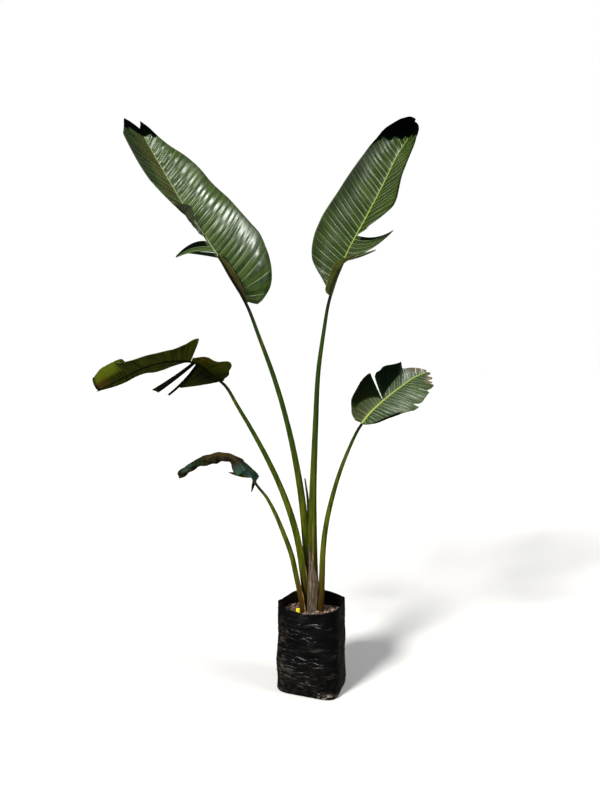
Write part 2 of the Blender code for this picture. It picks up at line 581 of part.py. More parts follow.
TAG = [(-0.0555, -0.0580, 0.232), (-0.0555, -0.0545, 0.2605)]
tag = add_plate("plant_tag", TAG, [(0, 0.014), (1, 0.014)], 0.001, 0.0, parts, stations=2)
add_material(tag, (0.9, 0.75, 0.02), 0.5)
holes.append(add_plate("plant_tag_hole", [(-0.0555, -0.0581, 0.231), (-0.0555, -0.0521, 0.28)],
                       [(0, 0.014), (1, 0.014)], 0.001, 0.0, cutters, stations=2, grow=0.0005))

for hole in holes:
    hole.hide_render = True
    hole.display_type = "WIRE"
    cut = soil.modifiers.new(hole.name, "BOOLEAN")
    cut.object = hole
    cut.operation = "DIFFERENCE"
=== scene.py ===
"""Giant white bird of paradise in a black grow bag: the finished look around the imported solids."""
import math

import bmesh
import bpy
import numpy as np
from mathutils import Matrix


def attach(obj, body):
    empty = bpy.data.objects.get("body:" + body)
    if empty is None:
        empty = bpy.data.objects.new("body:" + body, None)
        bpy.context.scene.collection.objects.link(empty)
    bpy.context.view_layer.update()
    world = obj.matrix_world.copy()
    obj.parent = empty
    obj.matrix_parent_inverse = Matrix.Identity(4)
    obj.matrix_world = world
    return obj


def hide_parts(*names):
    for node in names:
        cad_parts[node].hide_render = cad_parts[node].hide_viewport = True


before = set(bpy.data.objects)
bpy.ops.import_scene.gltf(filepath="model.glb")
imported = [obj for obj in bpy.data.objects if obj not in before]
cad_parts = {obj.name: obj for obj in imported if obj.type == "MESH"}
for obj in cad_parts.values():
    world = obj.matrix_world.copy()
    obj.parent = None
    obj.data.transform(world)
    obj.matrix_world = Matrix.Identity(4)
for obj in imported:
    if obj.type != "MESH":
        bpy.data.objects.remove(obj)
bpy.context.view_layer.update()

# The grow bag
# A tube of thin black polythene, filled, stood on its folded bottom and pressed into a rounded box.
# The film is soft: it is creased all round, and its rim stands at the corners and sags between them.
BAG_HALF_WIDTH = 0.101
BAG_HALF_DEPTH = 0.078
BAG_TURN = math.radians(-18.5)
BAG_HEIGHT = 0.268
BAG_FOOT_RADIUS = 0.007
BAG_MEAN_RADIUS = 0.09
BAG_SQUARENESS = 5.0
BAG_SOFTENING = 1.2
INNER_REACH = 0.3
INNER_FLOOR = 0.05
RIM_AT = (-170, -140, -110, -70, -45, -15, 0, 20, 45, 60, 90, 120, 135, 160, 180)
RIM_RISE = (0.009, -0.003, -0.012, -0.001, 0.009, 0.004, 0.009, 0.001, 0.008, 0.010, 0.006, -0.003,
            -0.009, -0.006, 0.002)
FILM = 0.0008
FILM_BLACK = (0.0018, 0.0018, 0.0020, 1)
FILM_DUST = (0.100, 0.075, 0.052, 1)
# Pale painted highlight on the ridges of the creases.
FILM_PAINTED_GLINT = (0.42, 0.36, 0.27, 1)
INSIDE_DUST = 0.15
FILM_ROUGH = 0.28
DUST_ROUGH = 0.75


def smooth(low, high, x):
    """Soft step: 0 below low, 1 above high, and 3t^2 - 2t^3 of the way between."""
    t = np.clip((x - low) / (high - low), 0, 1)
    return t * t * (3 - 2 * t)


def put(name, data):
    """A new object in the scene for a mesh, a light or a camera."""
    made = bpy.data.objects.new(name, data)
    bpy.context.scene.collection.objects.link(made)
    return made


def surface(name, grid, uv=None, marks=None, kept=None, weld=False):
    """A mesh through a grid of points, one face between each four neighbours.

    A face's outer side is on the right of its row's direction, seen from the next column. uv gives
    each point its place on the piece's own map, marks its named values, and kept the faces that stay.
    weld closes seams and poles, where points of the grid meet.
    """
    rows, columns = grid.shape[:2]
    number = np.arange(rows * columns).reshape(rows, columns)
    corners = np.stack([number[:-1, :-1], number[1:, :-1], number[1:, 1:], number[:-1, 1:]], -1)
    faces = (corners if kept is None else corners[kept]).reshape(-1, 4)
    mesh = bpy.data.meshes.new(name)
    mesh.from_pydata(grid.reshape(-1, 3).tolist(), [], faces.tolist())
    if uv is not None:
        layer = mesh.uv_layers.new(name="skin")
        layer.data.foreach_set("uv", uv.reshape(-1, 2)[faces.ravel()].astype(np.float32).ravel())
    for key, values in (marks or {}).items():
        layer = mesh.attributes.new(key, "FLOAT", "POINT")
        layer.data.foreach_set("value", values.astype(np.float32).ravel())
    if weld:
        bm = bmesh.new()
        bm.from_mesh(mesh)
        bmesh.ops.remove_doubles(bm, verts=bm.verts[:], dist=1e-6)
        bm.to_mesh(mesh)
        bm.free()
    mesh.shade_smooth()
    return put(name, mesh)


def node(tree, kind, sockets=None, **settings):
    """Adds a shader node with its settings, and fills sockets with values or other nodes' outputs."""
    made = tree.nodes.new(kind)
    for key, value in settings.items():
        setattr(made, key, value)
    for key, value in (sockets or {}).items():
        if isinstance(value, bpy.types.NodeSocket):
            tree.links.new(value, made.inputs[key])
        else:
            made.inputs[key].default_value = value
    return made


def sums(tree, operation, a, b=0.0):
    """One step of arithmetic on two values or outputs."""
    return node(tree, "ShaderNodeMath", {0: a, 1: b}, operation=operation).outputs[0]


def blend(tree, share, a, b):
    """Two colours mixed by a share of the second."""
    made = node(tree, "ShaderNodeMix", {0: share, 6: a, 7: b}, data_type="RGBA")
    return made.outputs[2]


def span(tree, value, low, high, start=0.0, end=1.0):
    """A value carried smoothly from the span low to high onto the span start to end."""
    made = node(tree, "ShaderNodeMapRange", {0: value, 1: low, 2: high, 3: start, 4: end},
                interpolation_type="SMOOTHSTEP")
    return made.outputs[0]


def grain(tree, vector, scale, detail):
    """Even noise about 0.5 on a vector, at one scale or at one for each of its three parts."""
    if isinstance(scale, tuple):
        vector = node(tree, "ShaderNodeMapping", {"Vector": vector, "Scale": scale}).outputs[0]
        scale = 1.0
    sockets = {"Vector": vector, "Scale": scale, "Detail": detail}
    return node(tree, "ShaderNodeTexNoise", sockets).outputs[0]


def place(tree):
    """Where a point of the piece lies in the object's own frame."""
    return node(tree, "ShaderNodeTexCoord").outputs["Object"]


def mark(tree, name):
    """A named value that the mesh carries."""
    return node(tree, "ShaderNodeAttribute", attribute_name=name).outputs["Fac"]


def finish(name, rough, shine):
    """A material with its shader, whose roughness and strength of reflection are set."""
    made = bpy.data.materials.new(name)
    made.use_nodes = True
    shader = made.node_tree.nodes["Principled BSDF"]
    shader.inputs["Roughness"].default_value = rough
    shader.inputs["Specular IOR Level"].default_value = shine
    return made, made.node_tree, shader


def wear(tree, shader, colour, height, depth, rough=None, strength=0.5):
    """Joins a colour, a relief of a given depth and, where it varies, a roughness to a shader."""
    tree.links.new(colour, shader.inputs["Base Color"])
    if rough is not None:
        tree.links.new(rough, shader.inputs["Roughness"])
    bump = node(tree, "ShaderNodeBump", {"Strength": strength, "Distance": depth, "Height": height})
    tree.links.new(bump.outputs[0], shader.inputs["Normal"])


def bag_plan(angle, share):
    """Distance of the film from the bag's axis, at an angle and a share of the height.

    The plan is a superellipse, (x / a)^p + (y / b)^p = 1, whose power falls upwards so that the
    corners soften, a little fuller at half height and with a few soft dents.
    """
    power = BAG_SQUARENESS - BAG_SOFTENING * share
    fullness = 0.968 + 0.012 * np.sin(math.pi * np.minimum(share / 0.7, 1)) - 0.004 * share**2
    c = np.abs(np.cos(angle)) / BAG_HALF_WIDTH
    s = np.abs(np.sin(angle)) / BAG_HALF_DEPTH
    r = fullness / (c**power + s**power) ** (1 / power)
    dents = 0.0012 * np.sin(3 * angle + 9 * share) + 0.0009 * np.sin(7 * angle - 14 * share)
    return r + dents * np.minimum(share / 0.1, 1)


def bag_rim(angle):
    """How far the rim stands above the bag's height, round the bag: high where it is pulled up."""
    round_it = np.degrees((angle + BAG_TURN + math.pi) % (2 * math.pi)) - 180
    return np.interp(round_it, RIM_AT, RIM_RISE, period=360)


def folds(around, height, middles, levels, lengths, widths, rises, slopes):
    """Sum of creases pressed into the film.

    Each is a straight tent-shaped fold, with its ridge along a slope, that dies away to both ends
    like exp(-t^2). around is the distance round the bag.
    """
    whole = 2 * math.pi * BAG_MEAN_RADIUS
    total = np.zeros(around.shape)
    for a, z, length, width, rise, slope in zip(middles, levels, lengths, widths, rises, slopes):
        off = (around - a + whole / 2) % whole - whole / 2
        line = height - z - slope * off - 4.0 * slope * off**2
        total += rise * np.exp(-(off / length) ** 2) * np.maximum(0, 1 - np.abs(line) / width)
    return total


chance = np.random.default_rng(11)
columns, wall_rows, inner_rows = 300, 170, 26
angles = np.linspace(0, -2 * math.pi, columns + 1) - BAG_TURN - math.pi / 2 - math.pi
wall = np.linspace(0, 1, wall_rows)
turn, share = np.meshgrid(angles, wall)
around = (turn + BAG_TURN + math.pi / 2) * BAG_MEAN_RADIUS
height = share * BAG_HEIGHT


def scatter(count, place_a, place_z, long, wide, rise, slope):
    """Folds thrown at random between the given lowest and highest values."""
    way = chance.choice([-1.0, 1.0], count)
    return (chance.uniform(*place_a, count), chance.uniform(*place_z, count),
            chance.uniform(*long, count), chance.uniform(*wide, count),
            chance.uniform(*rise, count) * way, chance.uniform(*slope, count))


# Long level creases, broad soft folds, slanting creases on the left, crumples at the right of the
# foot, a few creases across the front, and fine crinkles all over. A row gives how many there are,
# and the range of their places round the bag, levels, lengths, widths, rises and slopes.
FOLDS = (
    (420, (-0.29, 0.29), (0.0, 0.26), (0.008, 0.030), (0.0014, 0.0032), (0.0004, 0.0012),
     (-0.25, 0.25)),
    (40, (-0.29, 0.29), (0.0, 0.25), (0.010, 0.030), (0.004, 0.008), (0.0005, 0.0012), (-0.6, 0.6)),
    (110, (-0.16, -0.070), (0.0, 0.26), (0.003, 0.012), (0.0012, 0.004), (0.0005, 0.0012),
     (-2.5, -0.8)),
    (80, (0.01, 0.10), (0.0, 0.022), (0.003, 0.010), (0.0013, 0.003), (0.0006, 0.0014), (-1.2, 1.2)),
    (9, (0.0, 0.045), (0.096, 0.108), (0.005, 0.016), (0.0016, 0.0028), (0.0008, 0.0014),
     (0.05, 0.35)),
    (420, (-0.29, 0.29), (0.0, 0.27), (0.003, 0.012), (0.0010, 0.0020), (0.0004, 0.0010),
     (-0.9, 0.9)))
relief = np.zeros(height.shape)
for row in FOLDS:
    relief += folds(around, height, *scatter(*row))
relief += 0.0006 * np.sin(31 * around + 40 * height) * np.sin(55 * height + 12 * around)
relief[:, -1] = relief[:, 0]

r = bag_plan(turn, share) + relief
foot = np.clip(1 - height / BAG_FOOT_RADIUS, 0, 1)
r = r - BAG_FOOT_RADIUS * (1 - np.sqrt(1 - foot**2))
ripple = 0.0008 * np.sin(60 * around) * share**20
z = share * (BAG_HEIGHT + bag_rim(turn) * share**3) + ripple


def ring(radius, level, where):
    """Points at a distance from the axis, at a level and an angle."""
    a = where + BAG_TURN
    x = radius * np.cos(a)
    return np.stack([x, radius * np.sin(a), level + 0 * x], -1)


spread = np.linspace(0, 1, 9)[:-1, None]
under = ring(r[:1] * spread, 0.0, turn[:1])
down = np.linspace(0, INNER_REACH, inner_rows)[:, None]
depth = (1 - down) * wall_rows - 1
upper = np.clip(depth.astype(int), 0, wall_rows - 1)[:, 0]
inside = ring(r[upper] - FILM - 0.0004 * down, z[upper], turn[upper])
deep = ring(r[upper[-1:]] * np.linspace(0.9, 0, 5)[:, None], INNER_FLOOR, turn[:1])
film = np.concatenate([under, ring(r, z, turn), inside, deep])

level = film[..., 2] / BAG_HEIGHT
side = (turn[:1] + BAG_TURN + 1.5 * math.pi) % (2 * math.pi) - math.pi
side = side * BAG_MEAN_RADIUS + 0 * level
# Dust lies at the right of the foot, down the two sides, and thinly over the lower part. The ridges
# of the creases carry painted highlights, faint all over and strongest where the film is crumpled.
dust = np.exp(-((side - 0.060) / 0.030) ** 2) * smooth(0.11, 0.0, level)
dust = np.maximum(dust, 0.6 * smooth(-0.080, -0.10, side) * smooth(1.0, 0.6, level))
dust = np.maximum(dust, 0.5 * smooth(0.060, 0.095, side))
dust = np.maximum(dust, 0.15 * smooth(0.6, 0.0, level))
dust[len(under) + wall_rows:] *= INSIDE_DUST
ridges = smooth(0.0004, 0.0013, np.concatenate([0 * under[..., 0], relief, relief[upper],
                                                0 * deep[..., 0]]))
crumpled = np.exp(-((side - 0.047) / 0.020) ** 2) * smooth(0.10, 0.02, level)
worn = ridges * (0.05 + 0.95 * crumpled)
bag = surface("film_bag", film, marks={"dust": dust, "worn": worn}, weld=True)

made, tree, shader = finish("black_film", FILM_ROUGH, 0.3)
at = place(tree)
dusty = grain(tree, at, (60, 60, 140), 6.0)
dusty = sums(tree, "MULTIPLY", span(tree, dusty, 0.45, 0.75), mark(tree, "dust"))
specks = span(tree, grain(tree, at, 420.0, 2.0), 0.70, 0.78)
dusty = sums(tree, "MAXIMUM", dusty, sums(tree, "MULTIPLY", specks, 0.2))
pressed = grain(tree, at, (70, 70, 260), 2.0)
# The worn mark paints highlights on the crease ridges.
tone = blend(tree, mark(tree, "worn"), blend(tree, dusty, FILM_BLACK, FILM_DUST), FILM_PAINTED_GLINT)
wear(tree, shader, colour=tone, rough=span(tree, dusty, 0.0, 1.0, FILM_ROUGH, DUST_ROUGH),
     height=pressed, depth=0.0003)
bag.data.materials.append(made)
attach(bag, "root")
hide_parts("grow_bag")

# The potting mix
# Loose bark and peat, heaped a little towards the front and open round the stalks. The top is
# granular, with crumbs and a few pale chips of bark lying on it.
SOIL_LEVEL = 0.237
SOIL_SLOPE = -0.17
SOIL_INSET = 0.0022
SOIL_BOTTOM = 0.19
CRUMB_SHARE = 0.88
SOIL_BROWN = (0.020, 0.011, 0.007, 1)
SOIL_PALE = (0.46, 0.31, 0.235, 1)


def soil_height(x, y):
    """Height of the heaped mix: a slope towards the front with soft lumps."""
    lumps = 0.0016 * np.sin(170 * x + 2) * np.cos(140 * y)
    return SOIL_LEVEL + SOIL_SLOPE * y + lumps + 0.001 * np.sin(310 * y + 90 * x)


turn = np.linspace(0, 2 * math.pi, 181)[None]
edge = bag_plan(turn, SOIL_LEVEL / BAG_HEIGHT) - SOIL_INSET
out = np.linspace(0, 1, 70)[:, None]
top = ring(edge * out, 0.0, turn)
jitter = chance.normal(0, 0.0016, top.shape[:2]) * smooth(0, 0.1, out)
jitter[:, -1] = jitter[:, 0]
top[..., 2] = soil_height(top[..., 0], top[..., 1]) + jitter
sink = np.array([[0.012], [0.03]])
below = ring((edge - 0.006) * np.ones_like(sink), 0.0, turn)
below[..., 2] = top[-1:, :, 2] - sink
bed = ring(np.array([[0.9], [0.0]]) * edge, SOIL_BOTTOM, turn)
soil = surface("soil_bed", np.concatenate([top, below, bed]), weld=True)


def crumbs(name, count, size, pale):
    """Crumbs strewn on the mix: flattened balls of few faces, each turned and sized at random.

    They lie within the bag's plan at a share of its height, and pale is the range of their tones.
    """
    bm = bmesh.new()
    bmesh.ops.create_icosphere(bm, subdivisions=1, radius=1)
    ball = np.array([v.co for v in bm.verts])
    links = np.array([[v.index for v in f.verts] for f in bm.faces])
    bm.free()
    where = chance.uniform(-math.pi, math.pi, count)
    far = np.sqrt(chance.uniform(0, 1, count)) * 0.96
    spot = ring((bag_plan(where, CRUMB_SHARE) - SOIL_INSET) * far, 0.0, where)
    spot[:, 2] = soil_height(spot[:, 0], spot[:, 1]) + chance.uniform(-0.001, 0.0025, count)
    bulk = chance.uniform(*size, count)[:, None, None]
    shape = ball[None] * chance.uniform((0.6, 0.6, 0.4), (1.6, 1.2, 0.9), (count, 1, 3)) * bulk
    yaw = chance.uniform(0, 2 * math.pi, count)[:, None]
    x = shape[..., 0] * np.cos(yaw) - shape[..., 1] * np.sin(yaw)
    y = shape[..., 0] * np.sin(yaw) + shape[..., 1] * np.cos(yaw)
    points = np.stack([x, y, shape[..., 2]], -1) + spot[:, None]
    faces = links[None] + (np.arange(count) * len(ball))[:, None, None]
    mesh = bpy.data.meshes.new(name)
    mesh.from_pydata(points.reshape(-1, 3).tolist(), [], faces.reshape(-1, 3).tolist())
    tone = mesh.attributes.new("tone", "FLOAT", "POINT")
    tone.data.foreach_set("value", np.repeat(chance.uniform(*pale, count), len(ball)))
    return put(name, mesh)


made, tree, shader = finish("potting_mix", 0.95, 0.2)
at = place(tree)
fleck = span(tree, grain(tree, at, 170.0, 3.0), 0.47, 0.58)
fleck = sums(tree, "MAXIMUM", sums(tree, "MULTIPLY", fleck, 0.35), mark(tree, "tone"))
wear(tree, shader, colour=blend(tree, fleck, SOIL_BROWN, SOIL_PALE),
     height=grain(tree, at, 500.0, 4.0), depth=0.002, strength=0.8)
soil.data.materials.append(made)
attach(soil, "root")
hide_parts("potting_mix")
for name, count, size, pale in (("soil_crumbs", 900, (0.0012, 0.0036), (0.0, 0.45)),
                                ("bark_chips", 330, (0.0022, 0.0046), (0.3, 0.95))):
    piece = crumbs(name, count, size, pale)
    piece.data.materials.append(made)
    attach(piece, "root")

# The plant tag
# A small blank tag of yellow plastic sheet, pushed into the mix at the left front and leaning back.
TAG_YELLOW = (0.86, 0.72, 0.02, 1)
TAG_WORN = (0.62, 0.48, 0.03, 1)


def hermite(t, h, a, b, slope_a, slope_b):
    """Cubic over a span h from a to b with a slope at both ends, read at the share t of the span."""
    return ((2 * t**3 - 3 * t**2 + 1) * a + (t**3 - 2 * t**2 + t) * h * slope_a
            + (3 * t**2 - 2 * t**3) * b + (t**3 - t**2) * h * slope_b)


def read(table, u):
    """Smooth curve through a table of (place, value) pairs that never overshoots its values.

    A table that is one plain number is the same everywhere.
    """
    if not isinstance(table, list):
        return np.full(u.shape, float(table))
    k = np.array([a for a, _ in table], float)
    y = np.array([b for _, b in table], float)
    h = np.diff(k)
    rise = np.diff(y) / h
    slope = np.concatenate([rise[:1], np.zeros(len(k) - 2), rise[-1:]])
    if len(k) > 2:
        both = rise[:-1] * rise[1:]
        slope[1:-1] = np.where(both > 0, 2 * both / np.where(both > 0, rise[:-1] + rise[1:], 1), 0)
    i = np.clip(np.searchsorted(k, u, side="right") - 1, 0, len(k) - 2)
    return hermite((u - k[i]) / h[i], h[i], y[i], y[i + 1], slope[i], slope[i + 1])


def path(points, u):
    """Smooth curve through points, read at shares of its length, and that length."""
    p = np.asarray(points, float)
    k = np.r_[0, np.cumsum(np.linalg.norm(np.diff(p, axis=0), axis=1))]
    length = k[-1]
    k = k / length
    h = np.diff(k)[:, None]
    rise = np.diff(p, axis=0) / h
    slope = np.vstack([rise[:1], (rise[:-1] * h[1:] + rise[1:] * h[:-1]) / (h[1:] + h[:-1]),
                       rise[-1:]])
    i = np.clip(np.searchsorted(k, u, side="right") - 1, 0, len(k) - 2)
    t = ((u - k[i]) / h[i, 0])[:, None]
    return hermite(t, h[i], p[i], p[i + 1], slope[i], slope[i + 1]), length


# The crown of the plant stands a little off the bag's axis, and the plant is measured from there.
CROWN = np.array([0.013, 0.0125, 0.0])


def strap(name, points, widths, thick, cup, stations, columns):
    """A strap along a path, facing forward: its edges are cupped back by cup times t squared.

    t runs from -1 to 1 across the strap, whose width is read along the path.
    """
    us = np.linspace(0, 1, stations)
    t = np.linspace(-1, 1, columns)[None]
    spots = path(points, us)[0] + CROWN
    width = read(widths, us)[:, None]
    grid = spots[:, None] + np.stack([t * width / 2, cup * t**2 + 0 * width, 0 * t * width], -1)
    grid = grid[:, ::-1]
    piece = surface(name, grid)
    body = piece.modifiers.new("body", "SOLIDIFY")
    body.thickness = thick
    body.offset = -1
    return piece


tag = strap("yellow_tag", [(-0.0555, -0.0580, 0.235), (-0.0555, -0.0560, 0.2485),
                           (-0.0555, -0.0538, 0.2635)],
            [(0, 0.0115), (0.96, 0.0115), (1, 0.0105)], thick=0.0008, cup=0.0004, stations=14,
            columns=9)
made, tree, shader = finish("yellow_plastic", 0.4, 0.4)
worn = grain(tree, place(tree), 260.0, 4.0)
tone = blend(tree, span(tree, worn, 0.4, 0.8, 0.0, 0.5), TAG_YELLOW, TAG_WORN)
wear(tree, shader, colour=tone, height=worn, depth=0.0003)
tag.data.materials.append(made)
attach(tag, "root")
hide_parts("plant_tag")

# The left tall leaf
# Each leaf is a paddle-shaped blade on a long stalk that clasps the crown at its foot. The blade is a
# thin pleated sheet with a keeled midrib, and wind has torn it along its veins. This one turns its
# right half to the front, and its left half is folded forward below and torn into two ribbons.
LAMINA = 0.0008
KEEL = 0.0055
PLEAT = 0.0010
SLIT = 0.0014
ROWS_PER_PLEAT = 9
RIDGE = 5 / ROWS_PER_PLEAT
CLEAR_OF_SLIT = 0.06
ROOT = 0.045
FOLD_ANGLE = math.radians(150)
FOLD_SOFT = 0.07
WAVE = 0.0022
CRINKLE = 0.0011
RIBBON_TROUGH = 0.004
RIB_HALF = 0.0030
STALK_TROUGH = 0.42
STALK_MARGIN = 0.34
STALK_LEAD = 0.022
STALK_SMOOTHING = 40
LEAF_DEEP = (0.018, 0.042, 0.006, 1)
LEAF_FRESH = (0.052, 0.092, 0.017, 1)
DRY_EDGE = (0.17, 0.13, 0.05, 1)
PATCH_PALE = (0.155, 0.185, 0.012, 1)
# Tone of dry patches, and of a painted reflection on the left tall leaf.
PATCH_WARM = (0.13, 0.075, 0.024, 1)
# The near black in which dark patches are painted as shade.
SHADE_BLACK = (0.0006, 0.0018, 0.0008, 1)
STALK_TONES = {
    "low": (0.082, 0.096, 0.002, 1), "high": (0.024, 0.056, 0.004, 1),
    "dark_band": (0.012, 0.034, 0.003, 1), "amber_band": (0.13, 0.085, 0.006, 1),
    "foot": (0.055, 0.028, 0.004, 1), "streak": (0.010, 0.017, 0.002, 1),
    "margin": (0.50, 0.30, 0.13, 1), "trough": (0.030, 0.035, 0.010, 1),
    "shade": (0.005, 0.009, 0.004, 1)}


def unit(v):
    """Vectors brought to length one."""
    return v / np.maximum(np.linalg.norm(v, axis=-1, keepdims=True), 1e-9)


def midrib(leaf, u):
    """Midrib points with the directions along it, out of its upper face, and to its right."""
    spot = path(leaf["midrib"], u)[0]
    ahead = path(leaf["midrib"], np.clip(u + 1e-3, 0, 1))[0]
    behind = path(leaf["midrib"], np.clip(u - 1e-3, 0, 1))[0]
    along = unit(ahead - behind)
    facing = np.array(leaf["facing"], float)
    up = unit(facing - (along @ facing)[:, None] * along)
    return spot, along, up, np.cross(along, up)


def nod(p, at, along, towards, radius, angle):
    """Leans all that lies past a place over in another direction, round a radius, to an angle.

    It also says how far past the place each point lay.
    """
    a = unit(np.array(along, float))
    c = np.array(towards, float)
    c = unit(c - (c @ a) * a)
    h = (p - np.array(at)) @ a
    top = math.radians(angle)
    turn = np.clip(h / radius, 0, top)
    over = np.maximum(h - radius * top, 0)
    fall = np.where(h > 0, radius * np.sin(turn) + over * np.cos(turn) - h, 0)
    lean = np.where(h > 0, radius * (1 - np.cos(turn)) + over * np.sin(turn), 0)
    return p + fall[..., None] * a + lean[..., None] * c, h


def vein_count(leaf, us):
    """Number of veins passed at each share of the length, set a little unevenly."""
    return leaf["veins"] * (us + 0.005 * np.sin(23 * us) + 0.003 * np.sin(61 * us + 1))


def half(leaf, side, us, vs):
    """One half of a blade, walked outwards along each vein from the midrib.

    The vein leaves at the slant towards the tip and at the lift above the facing plane, and both
    turn evenly by arc and curl on the way to the margin. Between two veins the sheet rises in a
    straight slope to a ridge and falls in a steeper one, which makes the pleats. They flatten at
    the midrib and towards the margin. Past a fold's line the sheet turns back over itself. Slow
    waves run along the margin, and the foot of the right half is crinkled. A strip between two
    tears is led away to a tip of its own.
    """
    spot, along, up, right = midrib(leaf, us)
    s = leaf["right"] if side > 0 else leaf["left"]
    mid = 0.5 * (vs[1:] + vs[:-1])
    width = np.repeat(read(s["width"], us)[:, None], len(mid), 1)
    lift = np.radians(read(s["lift"], us)[:, None] + read(s["curl"], us)[:, None] * mid)
    if "fold" in s:
        start = read(s["fold"], us)[:, None]
        lift = lift + FOLD_ANGLE * smooth(start - FOLD_SOFT, start + FOLD_SOFT, mid)
    slant = np.radians(read(s["slant"], us)[:, None]
                       + read(s.get("arc", 0), us)[:, None] * mid)
    gather = np.zeros((len(us), len(vs), 3))
    for q in s.get("strips", []):
        inside = ((us > q["from"]) & (us < q["to"]))[:, None]
        past = np.clip(mid - ROOT, 0, 1)
        share = inside * np.clip(past / 0.08, 0, 1)
        if "lift" in q:
            lift = lift * (1 - share) + share * np.radians(q["lift"] + q.get("curl", 0) * past)
        if "slant" in q:
            slant = slant * (1 - share) + share * np.radians(q["slant"])
        width = np.where(inside & (mid > ROOT), width * q.get("grow", 1), width)
        if "tip" not in q and "taper" in q:
            centre = midrib(leaf, np.array([q["centre"]]))[0]
            pull = q["taper"] * np.clip((vs - ROOT) / (1 - ROOT), 0, 1) ** 1.5
            gather += (inside * pull)[..., None] * (centre - spot)[:, None]
    out = np.cos(lift)[..., None] * (side * right)[:, None] + np.sin(lift)[..., None] * up[:, None]
    step = np.cos(slant)[..., None] * out + np.sin(slant)[..., None] * along[:, None]
    step = step * (width * np.diff(vs))[..., None]
    p = np.concatenate([spot[:, None], spot[:, None] + np.cumsum(step, 1)], 1) + gather
    tilt = np.concatenate([lift[:, :1], lift], 1)
    face = (np.cos(tilt)[..., None] * up[:, None]
            - np.sin(tilt)[..., None] * (side * right)[:, None])
    veins = vein_count(leaf, us)
    uneven = np.random.default_rng(5).uniform(0.55, 1.3, leaf["veins"] + 3)
    step_in = veins - np.floor(veins)
    bulge = np.minimum(step_in / RIDGE, (1 - step_in) / (1 - RIDGE))
    bulge = bulge * uneven[np.floor(veins).astype(int) + 1]
    reach = smooth(0, 0.16, vs) * (1 - 0.93 * smooth(0.55, 0.97, vs)) * leaf.get("pleat", 1.0)
    reach = reach * read(s.get("pleat", 1), us)[:, None]
    wave = WAVE * np.sin(19 * us + 2 * side)[:, None] * smooth(0.6, 1, vs)
    crinkle = CRINKLE * np.sin(150 * us[:, None] + 7 * vs) * np.sin(26 * vs + 90 * us[:, None])
    crinkle = crinkle * smooth(0.13, 0.02, us)[:, None] * smooth(0.35, 0.7, vs) * (side > 0)
    crumple = np.sin(29 * us[:, None] + 5 * vs) * np.sin(8 * vs + 15 * us[:, None] + side)
    crumple = leaf.get("crumple", 0.0) * crumple * smooth(0.1, 0.4, vs)
    bow = wave + crinkle + crumple
    p = p + face * (PLEAT * (2 * bulge[:, None] - 1) * reach + bow)[..., None]
    for q in s.get("strips", []):
        if "tip" in q:
            inside = (us > q["from"]) & (us < q["to"])
            low = max(q["from"], 0)
            centre = q.get("centre", 0.5 * (low + q["to"]))
            t = np.clip((vs - ROOT) / (1 - ROOT), 0, 1)[None, :, None]
            row = int(np.searchsorted(vs, ROOT - 1e-6))
            root = p[:, row]
            hub = np.array([np.interp(centre, us, root[:, c]) for c in range(3)])
            line = hub + (np.array(q["tip"]) - hub) * t + np.array(q["bow"]) * 4 * t * (1 - t)
            spread = 1 - q.get("taper", 0.9) * t ** q.get("power", 1.5)
            across = np.clip((us - low) / (q["to"] - low), 0, 1)[:, None, None]
            trough = RIBBON_TROUGH * (1 - (2 * across - 1) ** 2) * np.sqrt(t) * (1 - t)
            ribbon = line + (root - hub)[:, None] * spread - trough * face
            p = np.where((inside[:, None] & (vs > ROOT + 1e-6))[..., None], ribbon, p)
    past = np.full(p.shape[:2], -1.0)
    if "bend" in leaf:
        p, past = nod(p, **leaf["bend"])
    return p, past, width


